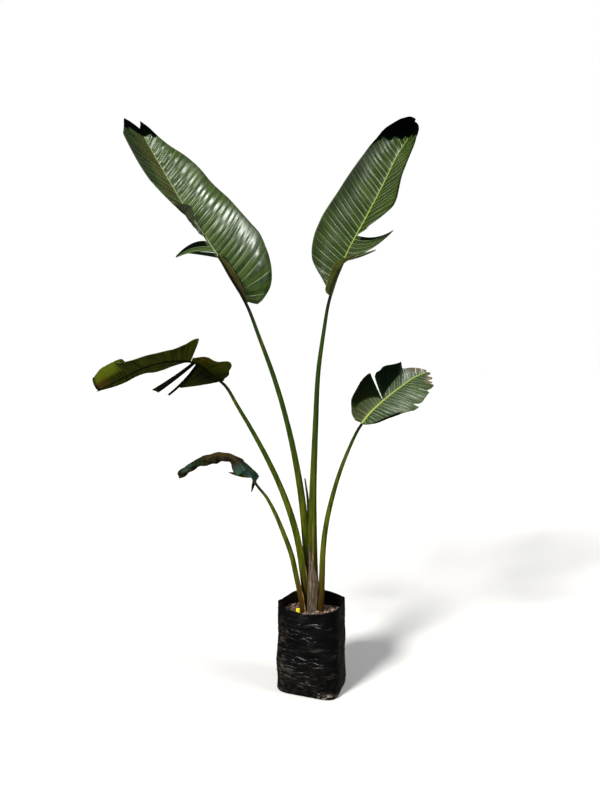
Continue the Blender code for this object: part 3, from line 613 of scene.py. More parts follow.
def blade(name, leaf, upper, under):
    """A leaf's blade: both halves on one grid, slit at its tears, with a wall and a keeled midrib.

    Each pleat has the same number of rows, and the rows next to a tear make way for its two lips.
    The keel's depth below the sheet is a half circle across the midrib, slimmer towards the tip.
    marks are patches, each a kind, a side, its reach along and across, how soft its edge is and
    its strength. A patch's inner edge may slant from one distance to another. The dark patches are
    painted shade, and faces painted in the deepest shade have a duller finish of their own.
    """
    reach = SLIT / path(leaf["midrib"], np.array([0.0]))[1] / 2
    tears = [(k, u, v) for k, s in ((1, "right"), (-1, "left")) for u, v in leaf[s].get("tears", [])]
    fine = np.linspace(0, 1, 4001)
    count = ROWS_PER_PLEAT * vein_count(leaf, fine)
    ridges = np.interp(np.arange(math.ceil(count[0]) + 1, math.floor(count[-1])), count, fine)
    even = [u for u in np.r_[0, ridges, 1]
            if all(abs(u - slit) > CLEAR_OF_SLIT / leaf["veins"] for _, slit, _ in tears)]
    us = np.array(sorted(even + [u + end for _, u, _ in tears for end in (-reach, reach)]))
    vs = np.r_[0, 0.009, 0.018, 0.027, 0.036, ROOT, 0.06, 0.08, 0.11, np.linspace(0.145, 1, 27)]
    right, past_right, wide = half(leaf, 1, us, vs)
    left, past_left, narrow = half(leaf, -1, us, vs)
    grid = np.concatenate([right[:, :0:-1], left], 1) + CROWN
    past = np.concatenate([past_right[:, :0:-1], past_left], 1)
    v = np.concatenate([vs[:0:-1], -vs])
    metres = np.concatenate([vs[:0:-1] * wide[:, :1], vs * narrow[:, :1]], 1)
    along = us[:, None]
    core = KEEL * (1 - 0.75 * along)
    bar = np.clip(1 - (metres / (0.5 * core + 0.0012)) ** 2, 0, 1)
    thick = LAMINA + (core - LAMINA) * np.sqrt(bar)
    marks = {key: np.zeros(metres.shape) for key in ("dark", "warm", "pale")}
    ragged = 0.010 * np.sin(2 * math.pi * vein_count(leaf, us))[:, None]
    for kind, where, (a, b), (c, d), soft, strength in leaf["marks"]:
        u, w = along + ragged * soft * 8, where * v[None]
        if isinstance(c, tuple):
            c = c[0] + (c[1] - c[0]) * np.clip((along - a) / (b - a), 0, 1)
        inside = smooth(a - soft, a + soft, u) * (1 - smooth(b - soft, b + soft, u))
        inside = inside * smooth(c - soft, c + soft, w) * (1 - smooth(d - soft, d + soft, w))
        marks[kind] = np.maximum(marks[kind], strength * inside)
    # All that the bend leans over is painted dark as shade, with a ragged hem along the veins.
    if "bend" in leaf:
        hem = 0.005 * np.sin(math.pi * vein_count(leaf, us))[:, None]
        marks["dark"] = np.maximum(marks["dark"], smooth(-0.001, 0.003, past + hem))
    rib = leaf.get("rib", 1.0) * RIB_HALF * (1 - 0.55 * along) + 0.0004
    marks["rib"] = np.clip(1.6 * (1 - metres / rib), 0, 1)
    marks["edge"] = smooth(0.975, 1.0, np.abs(v))[None] + 0 * metres
    kept = np.ones((len(us) - 1, len(v) - 1), bool)
    inner = np.minimum(np.abs(v[:-1]), np.abs(v[1:]))
    for k, u, start in tears:
        row = int(np.searchsorted(us, u)) - 1
        kept[row] &= ~((np.sign(v[:-1] + v[1:]) == k) & (inner > start - 1e-6))
    uv = np.stack(np.broadcast_arrays(vein_count(leaf, us)[:, None], v[None]), -1)
    piece = surface(name, grid, uv=uv, marks=marks, kept=kept)
    group = piece.vertex_groups.new(name="thickness")
    weights = np.round(thick / KEEL, 3).ravel()
    for weight in np.unique(weights):
        group.add(np.flatnonzero(weights == weight).tolist(), float(weight), "REPLACE")
    wall = piece.modifiers.new("wall", "SOLIDIFY")
    wall.thickness = KEEL
    wall.offset = -1
    wall.vertex_group = "thickness"
    wall.thickness_vertex_group = 0
    wall.material_offset = 1
    # Faces painted deep in shade take the shaded skin.
    dark = marks["dark"]
    dull = (dark[:-1, :-1] + dark[1:, :-1] + dark[1:, 1:] + dark[:-1, 1:]) / 4 > 0.5
    piece.data.polygons.foreach_set("material_index", (2 * dull[kept]).astype(np.int32))
    for skin in (upper, under, SHADED, under):
        piece.data.materials.append(skin)
    return piece


def leaf_skin(name, deep, fresh, vein, rib, rough, shine, relief, pale=PATCH_PALE, dry=PATCH_WARM,
              shade=1.0):
    """Skin of a blade: fine streaks along the veins, pale vein lines, a pale midrib and dry edges.

    The skin's own map counts the veins one way and the share of the half's width the other way.
    deep and fresh are the two tones of the leaf, and pale, dry and shade belong to the patches. The
    dark patches are painted shade, the dry tone also paints a reflection on the left tall leaf, and
    the pale tone paints sunlight on the arching leaf's rolled tip.
    """
    made, tree, shader = finish(name, rough, shine)
    own = node(tree, "ShaderNodeUVMap", uv_map="skin").outputs[0]
    split = node(tree, "ShaderNodeSeparateXYZ", {0: own}).outputs
    near = sums(tree, "SUBTRACT", sums(tree, "FRACT", sums(tree, "ADD", split[0], 0.5)), 0.5)
    near = sums(tree, "ABSOLUTE", near)
    line = span(tree, near, 0.015, 0.060, 1.0, 0.0)
    across = sums(tree, "ABSOLUTE", split[1])
    line = sums(tree, "MULTIPLY", line, span(tree, across, 0.6, 1.0, 1.0, 0.25))
    uneven = grain(tree, own, (1.0, 2.0, 1.0), 1.0)
    line = sums(tree, "MULTIPLY", line, span(tree, uneven, 0.35, 0.65, 0.4, 1.0))
    streaks = grain(tree, own, (2.4, 0.4, 1.0), 1.0)
    threads = grain(tree, own, (8.0, 0.8, 1.0), 1.0)
    broad = grain(tree, place(tree), 14.0, 3.0)
    fine = sums(tree, "ADD", sums(tree, "MULTIPLY", streaks, 0.7),
                sums(tree, "MULTIPLY", threads, 0.3))
    tone = blend(tree, span(tree, fine, 0.35, 0.65), deep, fresh)
    lighter = (1.9 * fresh[0], 1.6 * fresh[1], 1.4 * fresh[2], 1)
    tone = blend(tree, span(tree, broad, 0.45, 0.75, 0.0, 0.45), tone, lighter)
    margin = sums(tree, "MULTIPLY", mark(tree, "edge"), 0.5)
    # The dark mark paints shade, mixing the tone towards near black.
    dark = sums(tree, "MULTIPLY", mark(tree, "dark"), shade)
    for cover, colour in ((line, vein), (mark(tree, "warm"), dry), (mark(tree, "pale"), pale),
                          (mark(tree, "rib"), rib), (margin, DRY_EDGE), (dark, SHADE_BLACK)):
        tone = blend(tree, cover, tone, colour)
    dull = span(tree, broad, 0.3, 0.7, rough - 0.03, rough + 0.04)
    dull = sums(tree, "ADD", dull, sums(tree, "MULTIPLY", mark(tree, "rib"), 0.3))
    dull = sums(tree, "ADD", dull, sums(tree, "MULTIPLY", dark, 0.3))
    wear(tree, shader, colour=tone, rough=dull, height=fine, depth=relief)
    return made


def stalk_skin():
    """Skin of a stalk: leaf green above, olive lower down and brown at the foot, finely streaked."""
    made, tree, shader = finish("stalk_skin", 0.42, 0.06)
    at = place(tree)
    high = node(tree, "ShaderNodeSeparateXYZ", {0: at}).outputs[2]
    streaks = grain(tree, at, (420, 420, 14), 4.0)
    blotch = grain(tree, at, (60, 60, 22), 3.0)
    wander = sums(tree, "MULTIPLY", sums(tree, "SUBTRACT", blotch, 0.5), 0.16)
    level = sums(tree, "ADD", high, wander)
    tone = blend(tree, span(tree, level, 0.45, 0.95), STALK_TONES["low"], STALK_TONES["high"])
    bands = grain(tree, at, (130, 130, 5), 2.0)
    for key, cover in (("dark_band", span(tree, bands, 0.40, 0.56, 0.75, 0.0)),
                       ("amber_band", span(tree, bands, 0.58, 0.72, 0.0, 0.6)),
                       ("foot", span(tree, level, 0.26, 0.42, 1.0, 0.0)),
                       ("streak", span(tree, streaks, 0.40, 0.72, 0.0, 0.6)),
                       ("margin", mark(tree, "margin")),
                       ("trough", mark(tree, "trough")),
                       # The shade mark paints shade on the top of the stalk, under its blade.
                       ("shade", mark(tree, "shade"))):
        tone = blend(tree, cover, tone, STALK_TONES[key])
    wear(tree, shader, colour=tone, rough=span(tree, streaks, 0.3, 0.7, 0.32, 0.5),
         height=streaks, depth=0.0006)
    return made


def stalk(name, leaf, points, radii, turn):
    """A leaf's stalk: a rod with a trough along its upper side, led in under the blade's midrib.

    Round the rod the radius is r (1 - trough exp(-(a / 0.5)^2)), deepest at the foot, with a thin
    margin on both sides of the trough where the foot clasps the crown. The trough looks at the
    crown's axis below, swung round by turn, and turns into the blade's upper face above.
    """
    spot, along, up, _ = midrib(leaf, np.array([0.0, 0.07, 0.16]))
    r = radii[-1][1]
    under = [spot[0] - r * up[0] - STALK_LEAD * along[0], spot[0] - r * up[0],
             spot[1] - 0.75 * r * up[1], spot[2] - 0.5 * r * up[2]]
    line = [np.array(p, float) for p in points] + under
    stations, sides = 150, 44
    us = np.r_[0, np.linspace(0, 1, stations), 1]
    spots, length = path(line, us)
    for _ in range(STALK_SMOOTHING):
        spots[1:-1] = 0.25 * spots[:-2] + 0.5 * spots[1:-1] + 0.25 * spots[2:]
    ends = np.array([0.0, path(line[:len(points) + 2], np.array([0.0]))[1] / length, 1.0])
    shares = np.interp(us, ends, (0.0, 1.0, 1.0))
    size = read(radii, shares) * (1 - 0.5 * smooth(ends[1], 1, us))
    size[0] = size[-1] = 0
    run = unit(np.gradient(spots, axis=0))
    inward = unit(spots * np.array([-1, -1, 0]) + np.array([0, -0.004, 0]))
    c, s = math.cos(turn), math.sin(turn)
    inward = np.stack([inward[:, 0] * c - inward[:, 1] * s, inward[:, 0] * s + inward[:, 1] * c,
                       inward[:, 2]], -1)
    rise = smooth(0.35, 0.95, shares)[:, None]
    look = inward * (1 - rise) + up[0] * rise
    g = unit(look - (look * run).sum(1)[:, None] * run)
    h = np.cross(g, run)
    a = np.linspace(-math.pi, math.pi, sides + 1)[None]
    foot = (1 - smooth(0.10, 0.42, shares))[:, None]
    dip = STALK_TROUGH * np.exp(-(a / 0.5) ** 2) * (0.35 + 0.65 * foot)
    wing = STALK_MARGIN * np.exp(-((np.abs(a) - 0.85) / 0.19) ** 2) * foot
    wing = wing * (1 + 0.3 * np.sin(70 * shares)[:, None])
    radius = size[:, None] * (1 - dip + wing)
    grid = (spots[:, None] + radius[..., None] * (np.cos(a)[..., None] * g[:, None]
                                                  + np.sin(a)[..., None] * h[:, None])) + CROWN
    marks = {"margin": np.clip(wing / STALK_MARGIN, 0, 1) ** 2 * smooth(0.02, 0.15, foot),
             "trough": np.exp(-(a / 0.42) ** 2) * (0.25 + 0.6 * foot),
             # The top of the stalk, under its blade, is painted in shade.
             "shade": smooth(leaf.get("shade", 0.88), 1.0, shares)[:, None] + 0 * a}
    return surface(name, grid, marks=marks, weld=True)


# The upper skins are plain, dull on the leaf that is seen from below, bright and young on the two
# leaves at the right, and old on the low one. The under skins are plain, and darker with painted
# shade for the arching and the low leaf, and the shaded skin is for faces painted in deepest shade.
STALK_SKIN = stalk_skin()
RIB_PALE = (0.30, 0.35, 0.12, 1)
RIB_BRIGHT = (0.30, 0.36, 0.05, 1)
UPPER = leaf_skin("upper_skin", LEAF_DEEP, LEAF_FRESH, (0.28, 0.36, 0.17, 1), RIB_PALE,
                  0.27, 0.42, 0.00002)
UPPER_DULL = leaf_skin("upper_skin_dull", LEAF_DEEP, LEAF_FRESH, (0.20, 0.27, 0.11, 1), RIB_PALE,
                       0.5, 0.16, 0.0001)
UPPER_BRIGHT = leaf_skin("upper_skin_bright", (0.009, 0.023, 0.002, 1), (0.029, 0.053, 0.006, 1),
                         (0.30, 0.38, 0.20, 1), RIB_BRIGHT, 0.30, 0.32, 0.00003)
UPPER_YOUNG = leaf_skin("upper_skin_young", (0.013, 0.031, 0.007, 1), (0.038, 0.067, 0.021, 1),
                        (0.36, 0.42, 0.26, 1), RIB_BRIGHT, 0.34, 0.45, 0.00001,
                        dry=(0.20, 0.15, 0.095, 1))
RIB_OLD = (0.03, 0.025, 0.008, 1)
UPPER_OLD = leaf_skin("upper_skin_old", (0.004, 0.004, 0.001, 1), (0.022, 0.014, 0.003, 1),
                      RIB_OLD, RIB_OLD, 0.5, 0.08, 0.0008,
                      pale=(0.022, 0.062, 0.046, 1), dry=(0.060, 0.040, 0.008, 1))
UNDER = leaf_skin("under_skin", (0.024, 0.036, 0.006, 1), (0.050, 0.066, 0.012, 1),
                  (0.085, 0.100, 0.030, 1), (0.10, 0.12, 0.04, 1), 0.45, 0.1, 0.0004,
                  dry=(0.075, 0.046, 0.009, 1), shade=0.92)
# Under skin darkened with painted shade; its pale tone paints sunlight on the arching leaf's tip.
UNDER_PAINTED_SHADE = leaf_skin("under_skin_painted_shade", (0.010, 0.016, 0.0005, 1), (0.030, 0.037, 0.001, 1),
                       (0.040, 0.045, 0.004, 1), (0.002, 0.002, 0.001, 1), 0.45, 0.04, 0.0004,
                       pale=(0.060, 0.074, 0.002, 1), dry=(0.070, 0.036, 0.003, 1), shade=0.92)
SHADED = leaf_skin("shaded_skin", (0.016, 0.036, 0.010, 1), (0.032, 0.064, 0.018, 1),
                   (0.08, 0.12, 0.05, 1), (0.03, 0.04, 0.01, 1), 0.5, 0.02, 0.0004)


def grow(name, leaf, points, radii, upper=UPPER, under=UNDER, turn=0.0):
    """Makes a leaf's stalk and blade and sets them in the places of their nodes."""
    rod = stalk(name + "_rod", leaf, points, radii, turn)
    rod.data.materials.append(STALK_SKIN)
    paddle = blade(name + "_paddle", leaf, upper, under)
    for part, piece, slot in (("stalk", rod, "stalk"), ("blade", paddle, "leaf")):
        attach(piece, "root")
        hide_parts(name + "_" + part)


# A leaf's table gives its midrib, the way its upper face looks, how many veins it has, how strong
# its pleats and crumples are, how wide its pale rib is, where painted shade starts on its stalk,
# and its two halves. A half's values are read along the midrib: width in metres, and in degrees
# the slant towards the tip and the lift off the facing plane, to which arc and curl are added by
# the margin.
# fold is the share of the width where the sheet turns back, and above 1 it doesn't. A tear has its
# place along and the share of the width where it starts. A strip is what lies from one place to
# another: it hangs to a tip with a bow, or has a lift, a curl and a slant of its own, or tapers
# towards a centre. bend nods all that lies past a place over in another direction.
LEFT_TALL = {
    "midrib": [(-0.209, -0.010, 1.184), (-0.266, -0.020, 1.280), (-0.329, -0.025, 1.375),
               (-0.389, -0.020, 1.463), (-0.452, -0.005, 1.568), (-0.514, 0.018, 1.677),
               (-0.521, 0.022, 1.690)],
    "facing": (0.45, -0.85, 0.27), "veins": 32, "pleat": 0.85,
    "right": {
        "width": [(0, 0.036), (0.02, 0.068), (0.05, 0.120), (0.1, 0.167), (0.15, 0.177),
                  (0.2, 0.172), (0.3, 0.160), (0.4, 0.153), (0.5, 0.141), (0.6, 0.129),
                  (0.7, 0.104), (0.8, 0.071), (0.9, 0.047), (1, 0.030)],
        "slant": [(0, -50), (0.03, -25), (0.06, -4), (0.1, 13), (0.2, 17), (0.35, 16),
                  (0.7, 24), (0.9, 38), (1, 54)],
        "lift": [(0, 25), (1, 18)],
        "curl": [(0, -40), (0.6, -40), (0.8, -20), (1, 0)],
        "arc": 15},
    "left": {
        "width": [(0, 0.03), (0.06, 0.087), (0.12, 0.096), (0.18, 0.072), (0.235, 0.03),
                  (0.25, 0.08), (0.335, 0.09), (0.345, 0.020), (0.40, 0.022), (0.415, 0.047),
                  (0.43, 0.060), (0.45, 0.070), (0.465, 0.077), (0.485, 0.078), (0.5, 0.068),
                  (0.52, 0.079), (0.55, 0.096), (0.6, 0.114), (0.7, 0.118), (0.8, 0.121),
                  (0.85, 0.105), (0.9, 0.086), (0.95, 0.068), (1, 0.049)],
        "slant": [(0, -12), (0.1, 8), (0.35, 20), (0.7, 28), (0.9, 36), (1, 38)],
        "lift": [(0, 40), (0.45, 36), (0.8, 34), (1, 30)],
        "curl": [(0, 60), (0.25, 60), (0.34, 60), (0.38, 0), (1, 0)],
        "fold": [(0, 1.3), (0.40, 1.3), (0.412, 0.78), (0.43, 0.6), (0.45, 0.526),
                 (0.465, 0.505), (0.485, 0.667), (0.5, 1.05), (0.51, 1.3), (1, 1.3)],
        "pleat": [(0, 0.1), (0.23, 0.1), (0.27, 1), (1, 1)],
        "tears": [(0.24, ROOT), (0.27, ROOT), (0.34, ROOT)],
        "strips": [
            {"from": 0.27, "to": 0.34, "tip": (-0.406, -0.05, 1.307), "bow": (0, 0, 0.012)},
            {"from": 0.24, "to": 0.27, "tip": (-0.379, -0.04, 1.321), "bow": (0, 0, 0.002),
             "taper": 0.75}]},
    "bend": {"at": (-0.516, 0.02, 1.669), "along": (0.05, 0, 1), "towards": (0.2, -0.9, 0.1),
             "radius": 0.03, "angle": 60},
    # The warm patch by the left midrib is a painted reflection; the dark patches are painted shade.
    "marks": [("warm", -1, (0.56, 0.95), (0.03, 0.5), 0.08, 0.3),
              ("dark", -1, (0.62, 0.84), (0.55, 1.2), 0.1, 0.45),
              ("dark", -1, (0.35, 0.498), (0.5, 1.2), 0.01, 0.49),
              ("dark", -1, (-0.1, 0.236), (-0.1, 0.78), 0.02, 0.95),
              ("warm", -1, (0.0, 0.236), (0.78, 1.2), 0.02, 0.6),
              ("dark", -1, (0.0, 0.236), (0.78, 1.2), 0.02, 0.35),
              ("dark", -1, (0.307, 0.342), (0.12, 1.2), 0.006, 0.95),
              ("dark", -1, (0.24, 0.27), (0.1, 1.2), 0.004, 0.85)]}
grow("left_tall", LEFT_TALL,
     [(-0.022, 0.018, 0.201), (-0.0225, 0.018, 0.255), (-0.0255, 0.018, 0.341),
      (-0.030, 0.016, 0.428), (-0.035, 0.013, 0.511), (-0.0425, 0.009, 0.580),
      (-0.0627, 0.002, 0.706), (-0.091, 0.0, 0.836), (-0.137, -0.003, 0.9875),
      (-0.170, -0.006, 1.076), (-0.189, -0.008, 1.128)],
     [(0, 0.0108), (0.12, 0.0115), (0.3, 0.0115), (0.5, 0.0095), (0.75, 0.0072), (1, 0.0045)],
     turn=0.9)

# The right tall leaf
# It stands straightest, with a bright midrib. Its tip nods towards the front in a hood painted dark
# with shade, and one broad ribbon and a thin one are torn from its right half.
RIGHT_TALL = {
    "midrib": [(0.040, 0.0, 1.205), (0.062, 0.0, 1.262), (0.097, 0.005, 1.340),
               (0.147, 0.010, 1.433), (0.197, 0.020, 1.529), (0.247, 0.035, 1.629),
               (0.279, 0.045, 1.680), (0.286, 0.050, 1.699)],
    "facing": (-0.42, -0.85, 0.33), "veins": 34, "rib": 1.3, "pleat": 0.5,
    "right": {
        "width": [(0, 0.004), (0.015, 0.026), (0.03, 0.034), (0.06, 0.034), (0.1, 0.040),
                  (0.13, 0.042), (0.16, 0.062), (0.187, 0.095), (0.2, 0.1), (0.335, 0.1),
                  (0.35, 0.05), (0.38, 0.1), (0.42, 0.137), (0.46, 0.131), (0.5, 0.12),
                  (0.6, 0.099), (0.7, 0.089), (0.8, 0.075), (0.9, 0.053), (0.95, 0.046),
                  (1, 0.045)],
        "slant": [(0, -20), (0.08, 0), (0.2, 12), (0.5, 24), (0.8, 32), (0.9, 52), (0.95, 78),
                  (1, 110)],
        "lift": [(0, 90), (0.05, 90), (0.1, 75), (0.13, 65), (0.16, 45), (0.187, 35),
                 (0.25, 45), (0.4, 35), (1, 32)],
        "curl": [(0, 0), (0.05, 10), (0.1, 40), (0.13, 60), (0.16, 40), (0.187, 10), (0.2, 0),
                 (1, 0)],
        "tears": [(0.187, ROOT), (0.222, ROOT), (0.342, ROOT)],
        "strips": [
            {"from": 0.222, "to": 0.342, "tip": (0.222, -0.03, 1.387),
             "bow": (0, 0, -0.014), "centre": 0.32, "taper": 0.92},
            {"from": 0.187, "to": 0.222, "tip": (0.173, -0.02, 1.332),
             "bow": (0, 0, -0.003), "taper": 0.8}]},
    "left": {
        "width": [(0, 0.008), (0.02, 0.013), (0.05, 0.035), (0.1, 0.097), (0.15, 0.117),
                  (0.2, 0.127), (0.3, 0.133), (0.4, 0.131), (0.5, 0.127), (0.6, 0.120),
                  (0.7, 0.109), (0.8, 0.096), (0.9, 0.090), (0.95, 0.077), (0.98, 0.064),
                  (1, 0.044)],
        "slant": [(0, -5), (0.1, 16), (0.3, 25), (0.5, 30), (0.8, 35), (0.9, 44), (0.95, 57),
                  (0.98, 69), (1, 84)],
        "lift": 0, "curl": 40},
    "bend": {"at": (0.265, 0.04, 1.670), "along": (0, 0, 1), "towards": (-0.1, -0.9, 0.1),
             "radius": 0.03, "angle": 60},
    # The dark patches are painted shade.
    "marks": [("dark", -1, (0.3, 0.95), (0.8, 1.2), 0.2, 0.45),
              ("dark", -1, (0.70, 1.2), ((1.0, 0.35), 1.2), 0.03, 1.0),
              ("dark", 1, (0.3, 0.95), (0.93, 1.2), 0.03, 0.8),
              ("dark", 1, (-0.1, 0.187), (0.0, 0.5), 0.1, 0.5),
              ("pale", 1, (-0.1, 0.18), (0.3, 1.2), 0.05, 0.25),
              ("dark", 1, (0.318, 0.342), (0.15, 1.2), 0.006, 0.95),
              ("dark", 1, (0.187, 0.205), (0.4, 1.2), 0.006, 0.8)]}
grow("right_tall", RIGHT_TALL,
     [(-0.0015, 0.004, 0.201), (-0.0015, 0.004, 0.255), (-0.0045, 0.004, 0.342),
      (-0.008, 0.003, 0.429), (-0.0095, 0.003, 0.511), (-0.010, 0.003, 0.581),
      (-0.006, 0.0, 0.710), (-0.001, 0.0, 0.840), (0.005, 0.0, 0.970),
      (0.022, 0.0, 1.095), (0.030, 0.0, 1.147)],
     [(0, 0.011), (0.12, 0.0118), (0.28, 0.0124), (0.5, 0.0098), (0.75, 0.0072), (1, 0.0045)],
     upper=UPPER_BRIGHT, turn=-1.75)

# The left arching leaf
# It has bent over and shows its underside, darkened with painted shade. Three ribbons hang from it,
# a corner stands up where it is torn, and its tip has rolled into a tube painted pale with sunlight.
LEFT_ARCHING = {
    "midrib": [(-0.283, 0.0, 0.948), (-0.309, 0.0, 0.964), (-0.336, -0.005, 0.987),
               (-0.368, -0.010, 1.004), (-0.424, -0.020, 1.008), (-0.497, -0.030, 0.993),
               (-0.572, -0.035, 0.958), (-0.626, -0.040, 0.930), (-0.645, -0.040, 0.921)],
    "facing": (0.05, 0.55, 0.83), "veins": 30, "pleat": 0.45, "rib": 2.2, "shade": 0.92,
    "right": {
        "width": [(0, 0.02), (0.04, 0.07), (0.1, 0.1), (0.2, 0.115), (0.21, 0.11),
                  (0.25, 0.03), (0.275, 0.025), (0.35, 0.055), (0.4, 0.072), (0.45, 0.083),
                  (0.5, 0.083), (0.6, 0.061), (0.7, 0.042), (0.8, 0.036), (0.9, 0.025),
                  (1, 0.014)],
        "slant": [(0, -20), (0.1, 0), (0.25, 5), (0.5, 15), (0.8, 30), (1, 60)],
        "lift": 18, "curl": 0,
        "tears": [(0.208, ROOT), (0.234, ROOT), (0.262, ROOT)],
        "strips": [
            {"from": -1, "to": 0.208, "lift": -50, "tip": (-0.403, -0.04, 0.930),
             "bow": (0, 0, 0), "centre": 0.14, "taper": 0.95, "power": 1.2},
            {"from": 0.208, "to": 0.234, "lift": -50, "tip": (-0.433, -0.06, 0.909),
             "bow": (0.007, 0, 0.0), "taper": 0.25},
            {"from": 0.234, "to": 0.262, "lift": -50, "tip": (-0.474, -0.05, 0.920),
             "bow": (0.002, 0, -0.001), "taper": -1.2, "power": 1.2}]},
    "left": {
        "width": [(0, 0.012), (0.02, 0.026), (0.05, 0.083), (0.1, 0.110), (0.14, 0.124),
                  (0.147, 0.118), (0.16, 0.080), (0.18, 0.072), (0.2, 0.072), (0.22, 0.066),
                  (0.25, 0.042), (0.272, 0.030), (0.28, 0.168), (0.33, 0.12),
                  (0.4, 0.082), (0.5, 0.062), (0.6, 0.063), (0.7, 0.077), (0.8, 0.094),
                  (0.9, 0.094), (1, 0.068)],
        "slant": [(0, -35), (0.1, -15), (0.2, -10), (0.28, -4), (0.4, 0), (0.5, 8),
                  (0.7, 6), (0.755, 0), (1, 0)],
        "lift": -8, "curl": 0,
        "tears": [(0.275, ROOT), (0.755, 0.12), (0.905, 0.55), (0.95, 0.6)],
        "strips": [{"from": 0.755, "to": 2, "lift": -10, "curl": 230, "slant": -4,
                    "grow": 1.2}]},
    # The pale patch on the rolled tip is painted sunlight; the dark patches are painted shade.
    "marks": [("pale", -1, (0.757, 1.2), (0.25, 1.2), 0.01, 0.85),
              ("warm", -1, (0.90, 1.2), (0.05, 1.2), 0.05, 0.75),
              ("dark", -1, (0.975, 1.2), (0.0, 1.2), 0.01, 0.75),
              ("dark", -1, (0.762, 0.80), (0.2, 0.8), 0.02, 0.45),
              ("warm", -1, (0.28, 0.42), (0.1, 0.7), 0.08, 0.12),
              ("warm", -1, (0.17, 0.25), (0.5, 1.2), 0.03, 0.4),
              ("dark", 1, (-0.1, 0.2), (0.1, 1.2), 0.08, 0.65),
              ("dark", -1, (-0.1, 0.10), (-0.1, 1.2), 0.06, 0.5),
              ("dark", 1, (0.2, 0.265), (0.08, 1.2), 0.01, 1.0)]}
grow("left_arching", LEFT_ARCHING,
     [(-0.028, -0.012, 0.201), (-0.029, -0.012, 0.255), (-0.0385, -0.012, 0.351),
      (-0.058, -0.010, 0.475), (-0.082, -0.007, 0.557), (-0.1136, -0.004, 0.638),
      (-0.176, 0.0, 0.764), (-0.238, 0.0, 0.872), (-0.258, 0.0, 0.906)],
     [(0, 0.011), (0.35, 0.0108), (0.6, 0.0085), (1, 0.0045)], upper=UPPER_DULL,
     under=UNDER_PAINTED_SHADE)

# The left low leaf
# An old, small leaf whose two halves have rolled under into a drooping tube, with two short ribbons
# hanging where it leaves its stalk.
LEFT_LOW = {
    "midrib": [(-0.183, 0.0, 0.638), (-0.202, 0.0, 0.668), (-0.223, 0.0, 0.692),
               (-0.251, 0.005, 0.719), (-0.288, 0.010, 0.726), (-0.325, 0.010, 0.720),
               (-0.357, 0.0, 0.711), (-0.391, 0.0, 0.691), (-0.421, 0.0, 0.669)],
    "facing": (0.1, -0.1, 0.95), "veins": 20, "pleat": 0.12, "crumple": 0.0045,
    "right": {
        "width": [(0, 0.029), (0.1, 0.043), (0.3, 0.045), (0.8, 0.037), (1, 0.029)],
        "slant": [(0, 10), (0.2, 10), (0.8, 15), (1, 10)],
        "lift": 10,
        "curl": [(0, 10), (0.1, -20), (0.25, -60), (0.4, -150), (0.55, -120), (0.7, -175),
                 (0.82, -120), (1, -150)]},
    "left": {
        "width": [(0, 0.029), (0.1, 0.043), (0.3, 0.041), (0.8, 0.036), (1, 0.029)],
        "slant": [(0, 10), (0.2, 10), (0.8, 15), (1, 10)],
        "lift": 10,
        "curl": [(0, 10), (0.1, -60), (0.25, -150), (0.5, -165), (0.66, -120), (0.8, -170),
                 (1, -130)],
        "tears": [(0.055, ROOT), (0.16, ROOT)],
        "strips": [
            {"from": 0.055, "to": 0.16, "lift": -30, "tip": (-0.263, -0.03, 0.674),
             "bow": (0, 0, -0.004)},
            {"from": -1, "to": 0.055, "lift": -60, "tip": (-0.195, -0.03, 0.614),
             "bow": (0, -0.006, 0.002), "taper": 0.8}]},
    # The dark patches are painted shade.
    "marks": [("pale", 1, (-0.1, 0.24), (-1.2, 1.2), 0.06, 0.9),
              ("dark", 1, (0.05, 0.2), (0.3, 1.2), 0.06, 0.7),
              ("dark", 1, (0.28, 0.5), (0.25, 0.8), 0.06, 0.6),
              ("warm", 1, (0.38, 0.62), (-0.2, 0.35), 0.06, 0.6),
              ("warm", -1, (0.3, 0.7), (-0.2, 0.4), 0.08, 0.5),
              ("dark", -1, (0.68, 0.80), (0.1, 1.2), 0.04, 0.7),
              ("pale", -1, (0.80, 0.95), (0.2, 0.6), 0.03, 0.6),
              ("dark", 1, (0.62, 0.70), (0.1, 1.2), 0.03, 0.7),
              ("dark", -1, (0.055, 0.16), (0.35, 1.2), 0.03, 0.9),
              ("dark", -1, (-0.1, 0.055), (0.25, 1.2), 0.02, 0.95)]}
grow("left_low", LEFT_LOW,
     [(-0.040, -0.030, 0.201), (-0.042, -0.030, 0.263), (-0.0605, -0.027, 0.356),
      (-0.0735, -0.023, 0.415), (-0.100, -0.015, 0.4855), (-0.136, -0.007, 0.566),
      (-0.160, -0.003, 0.605)],
     [(0, 0.0095), (0.35, 0.0085), (0.7, 0.0066), (1, 0.0038)], upper=UPPER_OLD,
     under=UNDER_PAINTED_SHADE, turn=-0.40)
